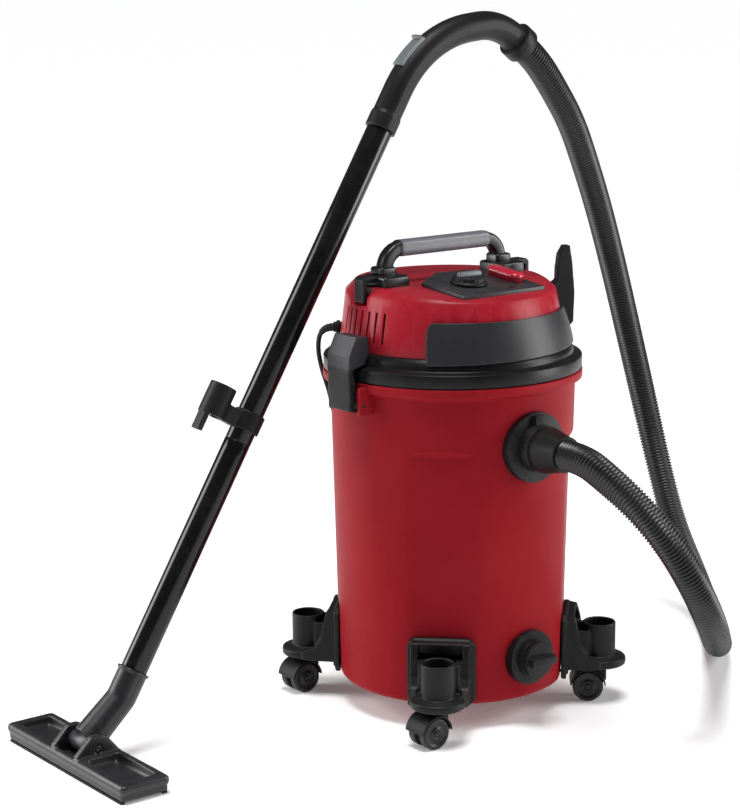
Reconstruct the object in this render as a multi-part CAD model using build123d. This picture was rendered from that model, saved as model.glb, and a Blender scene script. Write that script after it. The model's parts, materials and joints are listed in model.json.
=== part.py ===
from build123d import *
import math
import os

# Wheeled drum shop vacuum. Millimetres, +Z up, origin on the drum's axis at floor level.
# The hose inlet and the drain face -Y, the latches are at +X and -X, the blower port faces +Y.

# ---- driving dimensions ----
DRUM_Z, RIM_Z = 35, 460                # underside of the drum, top of its rim
DRUM_R_TOP, DRUM_R_BOTTOM = 163.5, 154.5
LIP_R, LIP_DEPTH = 173, 12             # rolled rim of the drum
WALL = 3
FLAT_DEPTH = 6                         # how deep the four flats cut into the round drum
FRONT_FLAT_TOP, REAR_FLAT_TOP = 371, 136

INLET_Z, INLET_R = 377, 46             # hose inlet flange
DRAIN_Z, DRAIN_R = 93, 36             # drain flange

SOCKET_RADIUS = 200                    # drum axis to each accessory socket
SOCKET_OD, SOCKET_BORE_R = 44.6, 19
SOCKET_Z0, SOCKET_Z1 = 64, 110
WHEEL_R, WHEEL_W, AXLE_R = 21, 12, 4
TRAIL = 15                             # swivel axis to wheel axle
CASTOR_H = 49                          # floor to the underside of the castor brackets
STEM_R = 5.5

COVER_Z0, COVER_Z1 = 495.6, 576        # red motor cover
COVER_R0, COVER_R1, COVER_R2 = 151, 139.5, 127
SHOULDER_Z = 564
PANEL_SLOPE = 6.0                      # degrees the control panel tips toward the front
PANEL_T = 5
KNOB_AT, SWITCH_AT = (-18, -54), (50, -48)
HANDLE_Y, HANDLE_HALF = 22, 91         # carry handle bar, along X
HANDLE_Z0, HANDLE_Z1 = 612, 633

TUBE_OD, TUBE_ID = 35, 32
HOSE_OD = 40
CORD_D = 6.6
CLEAR = 0.3                            # gap between bodies that move apart
FIT = 0.05                             # radial clearance of a shaft in its hole

# wand: a straight line in the plane y = WAND_Y, from the nozzle's neck up to the grip
WAND_Y = 75
WAND_FOOT = Vector(-463, WAND_Y, 112.6)
WAND_HEAD = Vector(-46.4, WAND_Y, 797.4)
WAND_DIR = (WAND_HEAD - WAND_FOOT).normalized()
JOINT_AT = 318                         # length of the lower tube up to the push-fit joint
NOZZLE_X, NOZZLE_PIVOT_Z = -537, 32
NOZZLE_W, NOZZLE_L, NOZZLE_H = 70, 290, 25

GRIP_END = Vector(190, WAND_Y, 869)    # where the hose leaves the grip
GRIP_END_DIR = Vector(0.80, 0, -0.60)
GRIP_CORNERS = [Vector(10.8, WAND_Y, 891.4), Vector(142, WAND_Y, 905)]
GRIP_BENDS = [165, 92]

# hose route: from the inlet cuff out to the front, down and round to the grip
HOSE_ROUTE = [
    (0, -226, 377), (0, -258, 377), (3, -295, 361), (19, -338, 328), (44, -371, 281),
    (74, -385, 225), (117, -370, 171), (176, -321, 133), (238, -266, 98), (300, -210, 65),
    (349, -166, 41), (392, -125, 23), (434, -79, 20), (475, -27, 26), (504, 31, 66), (515, 87, 129),
    (521, 130, 220), (509, 155, 327), (481, 162, 434), (440, 153, 536), (388, 132, 630),
    (339, 111, 703), (296, 93, 762), (250, 82, 813), (212.4, 75, 852.2), (190, 75, 869),
]

# mains cord: from the gland down the back-left of the drum to the floor behind it
CORD_ROUTE = [
    (-106.96, 108.84, 509), (-114.8, 116.8, 509), (-119.5, 128, 504.5), (-118.8, 139.5, 493),
    (-115.5, 146, 471), (-106, 150, 443), (-88, 157, 408), (-68, 168, 352), (-54, 178, 276), (-46, 186, 190),
    (-42, 192, 112), (-38, 200, 52), (-26, 208, 17), (2, 214, 5), (40, 213, 3.4), (78, 206, 3.4),
    (112, 198, 3.4), (146, 188, 3.4), (180.6, 177.5, 3.4),
]
COIL_AT, COIL_R_OUT, COIL_R_IN, COIL_H = (205, 245), 68, 34, 24
PLUG_AT = (196, 290)                   # middle of the plug, which lies on the coil


# ---- small builders ----
def box(x0, x1, y0, y1, z0, z1):
    return Pos((x0 + x1) / 2, (y0 + y1) / 2, (z0 + z1) / 2) * Box(x1 - x0, y1 - y0, z1 - z0)


def rod(start, direction, radius, length):
    return Plane(origin=start, z_dir=direction) * Cylinder(
        radius, length, align=(Align.CENTER, Align.CENTER, Align.MIN))


def pipe(start, direction, radius, bore, length):
    start, direction = Vector(start), Vector(direction).normalized()
    return rod(start, direction, radius, length) - rod(start - direction, direction, bore, length + 2)


def upright(x, y, z0, z1, radius):
    return rod((x, y, z0), (0, 0, 1), radius, z1 - z0)


def turned(*profile):
    """A closed profile of (radius, z) points turned about the drum's axis."""
    return revolve(make_face(Plane.XZ * Polyline(*profile, close=True)), Axis.Z)


def prism(outline, z0, z1):
    return extrude(Pos(0, 0, z0) * make_face(Polyline(*outline, close=True)), z1 - z0)


def side_prism(outline, half):
    """A closed outline of (x, z) points, extruded to half each side of y = 0."""
    return extrude(make_face(Plane.XZ * Polyline(*outline, close=True)), half, both=True)


def polar(radius, degrees, z=0):
    return Vector(radius * math.cos(math.radians(degrees)), radius * math.sin(math.radians(degrees)), z)


def about_z(shape, degrees):
    return Rot(0, 0, degrees) * shape


def mirror_x(shape):
    return mirror(shape, Plane.YZ)


def group(*shapes):
    solids = []
    for shape in shapes:
        solids += list(shape.solids())
    return Compound(children=solids)


# ---- drum ----
def drum_radius(z):
    low, high = DRUM_Z + 9, RIM_Z - LIP_DEPTH - 3
    share = (z - low) / (high - low)
    return DRUM_R_BOTTOM + (DRUM_R_TOP - DRUM_R_BOTTOM) * share


def flat_face(z, inset=0.0):
    """Distance from the drum's axis to a flat at height z."""
    return drum_radius(z) - FLAT_DEPTH - inset


def flat_cutter(angle, top, inset):
    """Everything outside one flat, from below the drum up to a short sloping ledge."""
    bottom, low, high = DRUM_Z - 5, flat_face(DRUM_Z - 5, inset), flat_face(top, inset)
    outline = [(low, bottom), (high, top), (high + 12, top + 8), (260, top + 8), (260, bottom)]
    return about_z(side_prism(outline, 110), angle)


def drum_cone():
    """The drum's outside without its flats, for parts that sit against it."""
    low, high = DRUM_Z + 10, RIM_Z - LIP_DEPTH - 3
    return turned((0, low), (drum_radius(low), low), (drum_radius(high), high), (0, high))


FLATS = [(-135, FRONT_FLAT_TOP), (-45, FRONT_FLAT_TOP), (135, REAR_FLAT_TOP), (45, REAR_FLAT_TOP)]
CORNERS = {"front_left": -135, "front_right": -45, "rear_left": 135, "rear_right": 45}


def make_drum():
    lip_z = RIM_Z - LIP_DEPTH
    outer = turned((0, DRUM_Z), (DRUM_R_BOTTOM - 9, DRUM_Z), (DRUM_R_BOTTOM, DRUM_Z + 9),
                   (DRUM_R_TOP, lip_z - 3), (LIP_R - 1, lip_z), (LIP_R, lip_z + 1.5), (LIP_R, RIM_Z), (0, RIM_Z))
    inner = turned((0, DRUM_Z + WALL), (DRUM_R_BOTTOM - WALL - 8, DRUM_Z + WALL),
                   (DRUM_R_BOTTOM - WALL, DRUM_Z + WALL + 8), (DRUM_R_TOP - WALL, lip_z - 3),
                   (DRUM_R_TOP - WALL, RIM_Z + 1), (0, RIM_Z + 1))
    for angle, top in FLATS:
        outer -= flat_cutter(angle, top, 0)
        inner -= flat_cutter(angle, top, WALL)
    drum = outer - inner
    drum -= rod((0, -140, INLET_Z), (0, -1, 0), 27, 40)
    drum -= rod((0, -140, DRAIN_Z), (0, -1, 0), 17, 40)
    for angle in CORNERS.values():
        for side in (-1, 1):
            for z in SCREW_Z:
                drum -= about_z(rod((140, side * SCREW_Y, z), (1, 0, 0), SCREW_R + 0.1, 30), angle)
    ear = box(-181, -158, 26.5, 34, 420, 456)
    ears = ear + mirror(ear, Plane.XZ)
    ears -= rod((LATCH_PIN_X, -40, LATCH_PIN_Z), (0, 1, 0), 2 + FIT, 80)
    ears -= turned((0, 390), (drum_radius(390) - 1, 390), (drum_radius(446) - 1, 460), (0, 460))
    drum += ears + mirror_x(ears)
    return drum


SCREW_Y, SCREW_Z, SCREW_R = 33, (48, 114), 2.2
LATCH_PIN_X, LATCH_PIN_Z = -175.5, 432


def make_inlet_port():
    face = -(drum_radius(INLET_Z))
    ring = pipe((0, face + 9, INLET_Z), (0, -1, 0), INLET_R, 26.9, 17) - drum_cone()
    neck = pipe((0, face - 2, INLET_Z), (0, -1, 0), 31, 22, 6.1) + pipe((0, face - 8, INLET_Z), (0, -1, 0), 31, 22, 16)
    spigot = pipe((0, face + 12, INLET_Z), (0, -1, 0), 26.8, 22, 14.5)
    tab = box(-8, 8, face - 15, face - 8, INLET_Z + 28, INLET_Z + 43)
    return ring + neck + spigot + tab


def make_drain_port():
    face = -(drum_radius(DRAIN_Z))
    ring = pipe((0, face + 6, DRAIN_Z), (0, -1, 0), DRAIN_R, 16.9, 15) - drum_cone()
    collar = pipe((0, face - 2, DRAIN_Z), (0, -1, 0), 25, 14, 15)
    spigot = pipe((0, face + 10, DRAIN_Z), (0, -1, 0), 16.8, 14, 12.5)
    return ring + collar + spigot


def make_drain_cap():
    face = -(drum_radius(DRAIN_Z)) - 17 - CLEAR
    disc = rod((0, face, DRAIN_Z), (0, -1, 0), 24, 7)
    bar = box(-21, 21, face - 17, face - 6, DRAIN_Z - 5, DRAIN_Z + 5)
    plug = rod((0, face + 12, DRAIN_Z), (0, -1, 0), 14 - FIT, 12.5)
    return disc + bar + plug


# ---- castors ----
def make_bracket(angle):
    face = drum_radius(60) - FLAT_DEPTH + 1.6
    pad = box(face, face + 7, -45, 45, 37, 128)
    pad = chamfer(pad.edges().filter_by(Axis.X), 9)
    arm = box(face + 5, SOCKET_RADIUS, -22, 22, CASTOR_H, SOCKET_Z0)
    cheek = box(face + 5, SOCKET_RADIUS - 12, 20, 27, CASTOR_H, 102)
    cheeks = cheek + mirror(cheek, Plane.XZ)
    cup = upright(SOCKET_RADIUS, 0, CASTOR_H, SOCKET_Z0, 28)
    socket = upright(SOCKET_RADIUS, 0, SOCKET_Z0 - 1, SOCKET_Z1, SOCKET_OD / 2)
    bracket = pad + arm + cheeks + cup + socket
    bracket -= upright(SOCKET_RADIUS, 0, SOCKET_Z0, SOCKET_Z1 + 1, SOCKET_BORE_R)
    bracket -= upright(SOCKET_RADIUS, 0, CASTOR_H - 1, SOCKET_Z0 - 3, STEM_R + FIT)
    for side in (-1, 1):
        for z in SCREW_Z:
            bracket -= rod((140, side * SCREW_Y, z), (1, 0, 0), SCREW_R + 0.1, 40)
    bracket -= flat_backer()
    return about_z(bracket, angle)


def flat_backer():
    """The drum's own flat, so that the bracket's pad lies against it."""
    low, high = DRUM_Z - 5, REAR_FLAT_TOP
    return side_prism([(100, low), (flat_face(low), low), (flat_face(high), high), (100, high)], 110)


def make_bracket_screws():
    face = drum_radius(60) - FLAT_DEPTH + 1.6 + 7
    screws = []
    for angle in CORNERS.values():
        for side in (-1, 1):
            for z in SCREW_Z:
                shank = rod((face - 14, side * SCREW_Y, z), (1, 0, 0), SCREW_R, 14.5)
                head = rod((face, side * SCREW_Y, z), (1, 0, 0), 4.2, 2.6)
                cross = box(face + 1.4, face + 4, side * SCREW_Y - 0.6, side * SCREW_Y + 0.6, z - 2.6, z + 2.6)
                screws.append(about_z(shank + head - cross, angle))
    return group(*screws)


def castor_frame(angle, trail_angle):
    """Moves a castor modelled at the origin, trailing toward -X, to its bracket."""
    at = polar(SOCKET_RADIUS, angle)
    return Pos(at.X, at.Y, 0) * Rot(0, 0, trail_angle - 180)


def make_castor_hood():
    reach, axle = WHEEL_R + 3.4, (-TRAIL, WHEEL_R)
    stem = upright(0, 0, CASTOR_H - 3, SOCKET_Z0 - 4, STEM_R)
    flange = upright(0, 0, CASTOR_H - 4, CASTOR_H - 0.4, 12)
    hood = castor_disc(-4, 8, reach) + castor_disc(-19, 15.2, reach) + castor_disc(3.8, 15.2, reach)
    hood += box(-TRAIL, 10, -10, 10, 29, CASTOR_H - 3)
    hood -= box(-60, 30, -30, 30, -10, WHEEL_R + 2)
    for low in (-19.1, 4):
        hood -= castor_disc(low, 15.1, WHEEL_R + 1.2)
    hood = hood + castor_disc(-4, 8, 9) + flange + stem
    return hood - castor_disc(-30, 60, AXLE_R + FIT)


def castor_disc(y, width, radius):
    """A disc on the wheels' axle line."""
    return rod((-TRAIL, y, WHEEL_R), (0, 1, 0), radius, width)


def make_castor_wheels():
    wheels = []
    for low in (-4.8 - WHEEL_W, 4.8):
        wheel = fillet(castor_disc(low, WHEEL_W, WHEEL_R).edges().filter_by(GeomType.CIRCLE), 2.5)
        wheels.append(wheel - castor_disc(low - 1, WHEEL_W + 2, AXLE_R))
    return group(castor_disc(-4.8 - WHEEL_W, 9.6 + 2 * WHEEL_W, AXLE_R), *wheels)


# ---- latches ----
def make_latch():
    """Left latch: a lever pinned between the drum's ears and a hook over the lid's edge."""
    lever = side_prism([(-179, 422), (-189.5, 425), (-191, 474), (-183, 474), (-179, 460)], 23)
    barrel = rod((LATCH_PIN_X, -26, LATCH_PIN_Z), (0, 1, 0), 5, 52)
    lever = lever + barrel + side_prism([(-190, 425), (-176, 423.5), (-175, 436), (-190, 442)], 22)
    hook = side_prism([(-183, 474), (-191, 474), (-190, 496), (-178, 521), (-159, 519), (-157, 500),
                       (-164, 484), (-174, 481.5), (-183, 479)], 23.5)
    latch = lever + hook
    latch -= turned((0, 430), (LIP_R + 0.8, 430), (LIP_R + 0.8, 480.5), (162, 483), (162, 489),
                    (155, 497.5), (152.6, 500), (151.5, 530), (0, 530))
    latch -= rod((LATCH_PIN_X, -40, LATCH_PIN_Z), (0, 1, 0), 2 + FIT, 80)
    return latch


def make_latch_pins():
    pin = rod((LATCH_PIN_X, -34.5, LATCH_PIN_Z), (0, 1, 0), 2, 69)
    return group(pin, mirror_x(pin))


# ---- head ----
def cover_body(inset, z1=COVER_Z1):
    """The motor cover's solid shape: upright at the back, leaning back at the front."""
    z0 = COVER_Z0 - (1 if inset else 0)
    sections = [(z0, COVER_R0, -1), (SHOULDER_Z, COVER_R1, 4), (z1 - inset, COVER_R2, 5)]
    faces = [Pos(0, y, z) * Circle(r - inset) for z, r, y in sections]
    return loft(faces[:2], ruled=True) + loft(faces[1:], ruled=True)


def above_panel(lift):
    """Everything above the control panel's plane, raised by lift."""
    return Pos(0, PANEL_Y, COVER_Z1 - 2 + lift) * Rot(PANEL_SLOPE, 0, 0) * box(-200, 200, -200, 200, 0, 100)


PANEL_Y = -42
PANEL_UP = Vector(0, -math.sin(math.radians(PANEL_SLOPE)), math.cos(math.radians(PANEL_SLOPE)))


def on_panel(at, lift=0.0):
    """The point above (x, y) that is lift above the panel's top face, measured along its normal."""
    z = COVER_Z1 - 2 + (at[1] - PANEL_Y) * math.tan(math.radians(PANEL_SLOPE))
    return Vector(at[0], at[1], z) + PANEL_UP * (PANEL_T + lift)


def pill(at, length, width, lift0, lift1):
    """A round-ended bar along Y that stands on the panel's slope."""
    plane = Plane(origin=on_panel(at, lift0), x_dir=(1, 0, 0), z_dir=PANEL_UP)
    return plane * extrude(Rot(0, 0, 90) * SlotOverall(length, width), lift1 - lift0)


def make_lid_base():
    lid = turned((62, 464), (155, 464), (155, 440), (158.5, 440), (158.5, 461.3), (LIP_R - 1, 461.3),
                 (LIP_R - 0.5, 478), (160.5, 481), (160.5, 487), (153.5, 495.3), (146, 495.3),
                 (146, 468), (62, 468))
    lid -= turned((161.5, 460), (168.5, 460), (168.5, 462.9), (161.5, 462.9))
    return lid


def make_lid_gasket():
    return turned((161.6, RIM_Z + CLEAR), (168.4, RIM_Z + CLEAR), (168.4, 462.8), (161.6, 462.8))


def vent_slots(side):
    slots = []
    for step in range(-3, 4):
        slot = box(110, 175, -1.9, 1.9, 508, 548)
        slots.append(about_z(slot, side + step * 5.6))
    return slots


def hook_notches(grow):
    """Recesses in the cover's shoulders behind the two cord hooks."""
    notch = box(127 - grow, 170, 4 - grow, 32 + grow, 553 - grow, 600)
    return notch + mirror_x(notch)


def make_motor_cover():
    cover = cover_body(0) - above_panel(0) - hook_notches(0)
    cover -= cover_body(WALL) - above_panel(-WALL) - hook_notches(WALL)
    for side in (176, 4):
        for slot in vent_slots(side):
            cover -= slot
    cover -= rod((0, 120, BLOWER_Z), (0, 1, 0), 23.1, 60)
    gland = polar(120, GLAND_ANGLE, GLAND_Z)
    cover -= rod(gland, polar(1, GLAND_ANGLE), 7.1, 60)
    cover -= rod(on_panel(KNOB_AT, -30), PANEL_UP, 6, 60)
    cover -= pill(SWITCH_AT, 62, 22, -30, 10)
    for x in (-HANDLE_HALF, HANDLE_HALF):
        for dy in (-13, 13):
            cover -= upright(x, HANDLE_Y + dy, 560, 590, 2.1)
    return cover


BLOWER_Z, BLOWER_BORE_R = 533, 19
GLAND_ANGLE, GLAND_Z = 134.5, 509


def make_front_band():
    sections = [(499, 157.5, -1), (541, 148.5, 3)]
    faces = [Pos(0, y, z) * Circle(r) for z, r, y in sections]
    band = loft(faces, ruled=True) - cover_body(0)
    reach = 260
    left, right = polar(reach, -140), polar(reach, -42)
    sector = prism([(0, 0), (left.X, left.Y), (0, -reach * 1.6), (right.X, right.Y)], 490, 550)
    return band & sector


def make_control_panel():
    outline = [(-68, -106), (68, -106), (72, -30), (34, 8), (-20, 12), (-72, -24)]
    panel = prism(outline, 550, 600) - cover_body(0)
    panel = panel + (prism(outline, 550, 600) & above_panel(0))
    panel -= above_panel(PANEL_T)
    panel = panel - (cover_body(0) - above_panel(0))
    panel -= rod(on_panel(KNOB_AT, -20), PANEL_UP, 3.5, 40)
    panel -= pill(SWITCH_AT, 60, 20, -20, 20)
    panel -= rod(on_panel(LENS_AT, -2), PANEL_UP, 3.1, 10)
    return panel


LENS_AT = (24, -92)


def make_power_knob():
    skirt = rod(on_panel(KNOB_AT, 0.4), PANEL_UP, 24.5, 4)
    drum = rod(on_panel(KNOB_AT, 4.4), PANEL_UP, 21.5, 7)
    plane = Plane(origin=on_panel(KNOB_AT, 13), x_dir=(1, 0, 0), z_dir=PANEL_UP)
    ridge = plane * Box(38, 9, 7)
    shaft = rod(on_panel(KNOB_AT, -17), PANEL_UP, 3, 18)
    return skirt + drum + ridge + shaft


def make_switch_button():
    return pill(SWITCH_AT, 59.2, 19.2, -8, 6)


def make_indicator_lens():
    return rod(on_panel(LENS_AT, -1.9), PANEL_UP, 3, 3)


def make_switch_body():
    under = -PANEL_T - WALL
    plane = Plane(origin=on_panel((SWITCH_AT[0], SWITCH_AT[1]), under - 14), x_dir=(1, 0, 0), z_dir=PANEL_UP)
    block = plane * Box(24, 46, 18)
    plane = Plane(origin=on_panel(KNOB_AT, under - 9), x_dir=(1, 0, 0), z_dir=PANEL_UP)
    pot = plane * Box(26, 26, 10)
    pot -= rod(on_panel(KNOB_AT, -40), PANEL_UP, 3 + FIT, 60)
    return group(block, pot)


def make_speed_board():
    plane = Plane(origin=on_panel((16, -52), -PANEL_T - WALL - 9), x_dir=(1, 0, 0), z_dir=PANEL_UP)
    board = plane * Box(38, 60, 1.6)
    choke = Plane(origin=on_panel((14, -66), -PANEL_T - WALL - 14.8), z_dir=PANEL_UP) * Cylinder(7, 10)
    return group(board, choke)


def make_carry_handle():
    half, y, post = HANDLE_HALF, HANDLE_Y, 11
    bar = box(-half - post, half + post, y - 10, y + 10, HANDLE_Z0, HANDLE_Z1)
    posts = box(-half - post, -half + post, y - 9.5, y + 9.5, 588, HANDLE_Z0 + 1)
    bases = box(-half - 15, -half + 17, y - 30, y + 18, COVER_Z1, 590)
    handle = bar + posts + mirror_x(posts)
    handle = chamfer(handle.edges().filter_by(Axis.Y).group_by(Axis.Z)[-1], 20)
    handle = handle + bases + mirror_x(bases)
    for x in (-half, half):
        for dy in (-13, 13):
            handle -= upright(x, y + dy, COVER_Z1 - 1, 600, 2.1)
            handle -= upright(x, y + dy, 586, 600, 4.4)
    return handle


def make_head_screws():
    screws = []
    for x in (-HANDLE_HALF, HANDLE_HALF):
        for dy in (-13, 13):
            head = upright(x, HANDLE_Y + dy, 586, 588.6, 4.2)
            shank = upright(x, HANDLE_Y + dy, 568, 586.1, 2)
            slot = box(x - 0.6, x + 0.6, HANDLE_Y + dy - 2.5, HANDLE_Y + dy + 2.5, 587.4, 590)
            screws.append(head + shank - slot)
    return group(*screws)


def make_cord_hooks():
    inner, outer = -HANDLE_HALF - 15, -142.5
    arm = box(outer, inner, 8, 28, 582, 590)
    lip = box(outer, outer + 7, 8, 28, 557, 590)
    hook = chamfer((arm + lip).edges().filter_by(Axis.Y).group_by(Axis.X)[0].sort_by(Axis.Z)[-1], 4)
    return group(hook, mirror_x(hook))


def make_cord_wrap():
    """Upright horn on the right-hand side of the cover, for winding the cord on."""
    outline = [(140, 521), (163, 503), (170, 510), (171.5, 550), (168, 590), (164, 614), (156, 614),
               (149, 602), (146.5, 582), (146, 568), (140, 564)]
    horn = about_z(side_prism(outline, 7), CORD_WRAP_ANGLE)
    return horn - cover_body(0) - make_keepout()


CORD_WRAP_ANGLE = -21


def make_keepout():
    """The front band's end, which the cord horn stays clear of."""
    return turned((100, 490), (158.2, 490), (158.2, 499), (100, 499))


def make_cable_gland():
    outward = polar(1, GLAND_ANGLE)
    gland = rod(polar(144, GLAND_ANGLE, GLAND_Z), outward, 7, 16)
    gland += rod(polar(151.8, GLAND_ANGLE, GLAND_Z), outward, 9, 4)
    return gland - rod(polar(152.5, GLAND_ANGLE, GLAND_Z), outward, CORD_D / 2, 20)


def make_blower_port():
    tube = pipe((0, 136, BLOWER_Z), (0, 1, 0), 23, BLOWER_BORE_R, 34)
    collar = pipe((0, 158, BLOWER_Z), (0, 1, 0), 26, BLOWER_BORE_R, 4)
    return tube + collar


def make_motor_can():
    can = turned((11.1, 490), (48, 490), (48, 548), (11.1, 548), (11.1, 545.5), (45.5, 545.5), (45.5, 492.5),
                 (11.1, 492.5))
    seats = turned((11.05, 490), (14, 490), (14, 499), (11.05, 499))
    seats += turned((11.05, 539), (14, 539), (14, 548), (11.05, 548))
    return can + seats


def make_motor_bearings():
    rings = []
    for z in (491, 540):
        ring = turned((4.05, z), (11, z), (11, z + 7), (4.05, z + 7))
        rings.append(ring)
    return group(*rings)


def make_fan_shroud():
    return turned((22, 470), (68, 470), (68, 490), (14.5, 490), (14.5, 488), (66, 488), (66, 472), (22, 472))


def make_shroud_seal():
    return turned((63, 468), (68, 468), (68, 470), (63, 470))


def make_motor_rotor():
    shaft = upright(0, 0, 472, 550, 4)
    armature = upright(0, 0, 502, 529, 27)
    commutator = upright(0, 0, 530, 537, 13)
    return shaft + armature + commutator


def make_impeller():
    lower = turned((20, 474), (62, 474), (62, 475.5), (20, 475.5))
    upper = turned((4.02, 484), (62, 484), (62, 485.5), (4.02, 485.5))
    hub = turned((4.02, 474), (10, 474), (10, 485), (4.02, 485))
    fan = lower + upper + hub
    for step in range(8):
        fan += about_z(box(22, 61, -0.8, 0.8, 475, 484.5), step * 45)
    return fan


def make_float_cage():
    cage = turned((44, 342), (47, 342), (47, 460), (62, 460), (62, 464), (44, 464))
    floor = turned((10, 340), (47, 340), (47, 343), (10, 343))
    cage += floor
    for angle in range(0, 180, 45):
        cage -= about_z(box(-80, 80, -9, 9, 362, 430), angle)
    return cage


def make_float_ball():
    return Pos(0, 0, FLOAT_Z) * Sphere(FLOAT_R)


FLOAT_R, FLOAT_Z = 27, 343 + 27 + 0.4


def make_filter():
    pleats, points = 36, []
    for step in range(pleats):
        base = 360 / pleats * step
        for share, radius in ((0.0, 72), (0.35, 72), (0.5, 62), (0.85, 62)):
            at = polar(radius, base + share * 360 / pleats)
            points.append((at.X, at.Y))
    media = prism(points, 340, 454) - upright(0, 0, 330, 460, 58)
    top = turned((50, 453.5), (75, 453.5), (75, 459.5), (50, 459.5))
    bottom = turned((9, 333), (75, 333), (75, 339.5), (9, 339.5))
    rim = turned((58, 339), (72, 339), (72, 341), (58, 341))
    return media + top + bottom + rim


def make_filter_retainer():
    disc = upright(0, 0, 324, 333, 34)
    stud = upright(0, 0, 332, 341.5, 8.5)
    wing = box(-26, 26, -4, 4, 312, 325)
    return disc + stud + wing


# ---- hose, cuffs and grip ----
def tube_along(points, radii, outer, bore=0.0):
    line = FilletPolyline(*[Vector(*p) for p in points], radius=radii)
    start = Plane(origin=line @ 0, z_dir=line % 0)
    section = start * (Circle(outer) - Circle(bore) if bore else Circle(outer))
    return sweep(section, path=line), line.length


def arc_radii(points):
    radii = []
    for before, here, after in zip(points, points[1:], points[2:]):
        a, b = Vector(*here) - Vector(*before), Vector(*after) - Vector(*here)
        half_turn = math.radians(a.get_angle(b)) / 2
        radii.append(0.45 * min(a.length, b.length) / math.tan(half_turn))
    return radii


def free_tube(name, points, diameter, bore=0.0):
    """A hose's or cord's tube: straight runs joined by the largest arcs that fit."""
    radii = arc_radii(points)
    tube, length = tube_along(points, radii, diameter / 2, bore)
    section = math.pi * ((diameter / 2) ** 2 - bore ** 2)
    print(name, "arc radii", [round(r) for r in radii])
    print(name, "length", round(length, 1), "volume ratio", round(tube.volume / (section * length), 4))
    return tube


def make_hose_cuff():
    """Swivelling cuff that plugs into the inlet."""
    face = -(drum_radius(INLET_Z)) - 24 - CLEAR
    shell = revolve(make_face(Plane.YZ * Polyline(
        (face, 22.2), (face, 30), (face - 8, 30), (-222, 23.5), (-225.6, 23.5), (-225.6, 17),
        (face + 24, 17), (face + 24, 21.7), (face + CLEAR, 21.7), (face + CLEAR, 22.2), close=True)),
        Axis((0, 0, 0), (0, 1, 0)))
    return Pos(0, 0, INLET_Z) * shell


def grip_path():
    """Straight over the wand, then two bends to the hose end."""
    start = WAND_HEAD - WAND_DIR * 34
    end = GRIP_END - GRIP_END_DIR.normalized() * 22
    return FilletPolyline(start, *GRIP_CORNERS, end, radius=GRIP_BENDS)


def make_grip():
    path = grip_path()
    start = Plane(origin=path @ 0, z_dir=path % 0)
    body = sweep(start * Circle(19.5), path=path)
    body -= sweep(start * Circle(TUBE_OD / 2 + 0.1), path=path)
    hole = bend_normal(BLEED_HOLE)
    return body - rod(bend_centre() + hole * GRIP_BENDS[0], hole, 4, 30)


def make_hose_collar():
    """Swivelling collar between the grip and the hose."""
    out = GRIP_END_DIR.normalized()
    start = GRIP_END - out * (22 - CLEAR)
    ring = pipe(start, out, 25.5, 17, 18)
    return ring + pipe(start + out * 17, out, 23, 17, 4.4)


BEND_START = math.degrees(math.atan2(WAND_DIR.X, -WAND_DIR.Z))    # direction of the bend's first normal
BLEED_HOLE = 13                        # degrees into the bend


def bend_centre():
    """Centre of the grip's first bend."""
    run = (GRIP_CORNERS[1] - GRIP_CORNERS[0]).normalized()
    turn = math.radians(WAND_DIR.get_angle(run))
    tangent = GRIP_CORNERS[0] - WAND_DIR * (GRIP_BENDS[0] * math.tan(turn / 2))
    return tangent - grip_normal() * GRIP_BENDS[0]


def bend_normal(degrees):
    """Outward direction at an angle into the bend, measured from the wand's end."""
    a = math.radians(BEND_START - degrees)
    return Vector(math.cos(a), 0, math.sin(a))


def make_bleed_slider():
    """Curved air-relief shutter that slides along the outside of the grip's first bend."""
    centre, radius = bend_centre(), GRIP_BENDS[0]
    normal = bend_normal(9)
    section = Plane(origin=centre + normal * radius, x_dir=normal, z_dir=normal.cross(Vector(0, 1, 0)))
    ring = section * (Circle(23) - Circle(19.5 + CLEAR))
    shoe = revolve(ring, Axis(centre, (0, 1, 0)), 16)
    lip_plane = Plane(origin=centre + bend_normal(23.5) * (radius + 24), x_dir=bend_normal(23.5),
                      z_dir=Vector(0, 1, 0))
    band = rod(centre - Vector(0, 9.5, 0), (0, 1, 0), radius + 40, 19)
    band -= rod(centre - Vector(0, 10, 0), (0, 1, 0), radius + 5, 20)
    return (shoe & band) + lip_plane * Box(5, 4, 15)


def grip_normal():
    return Vector(-WAND_DIR.Z, 0, WAND_DIR.X)


def make_upper_tube():
    start = WAND_FOOT + WAND_DIR * (JOINT_AT + 0.1)
    return pipe(start, WAND_DIR, TUBE_OD / 2, TUBE_ID / 2, (WAND_HEAD - start).length)


def make_lower_tube():
    tube = pipe(WAND_FOOT, WAND_DIR, TUBE_OD / 2, TUBE_ID / 2, JOINT_AT)
    spigot = pipe(WAND_FOOT + WAND_DIR * (JOINT_AT - 8), WAND_DIR, TUBE_ID / 2 - FIT, 14, 40)
    return tube + spigot


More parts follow.
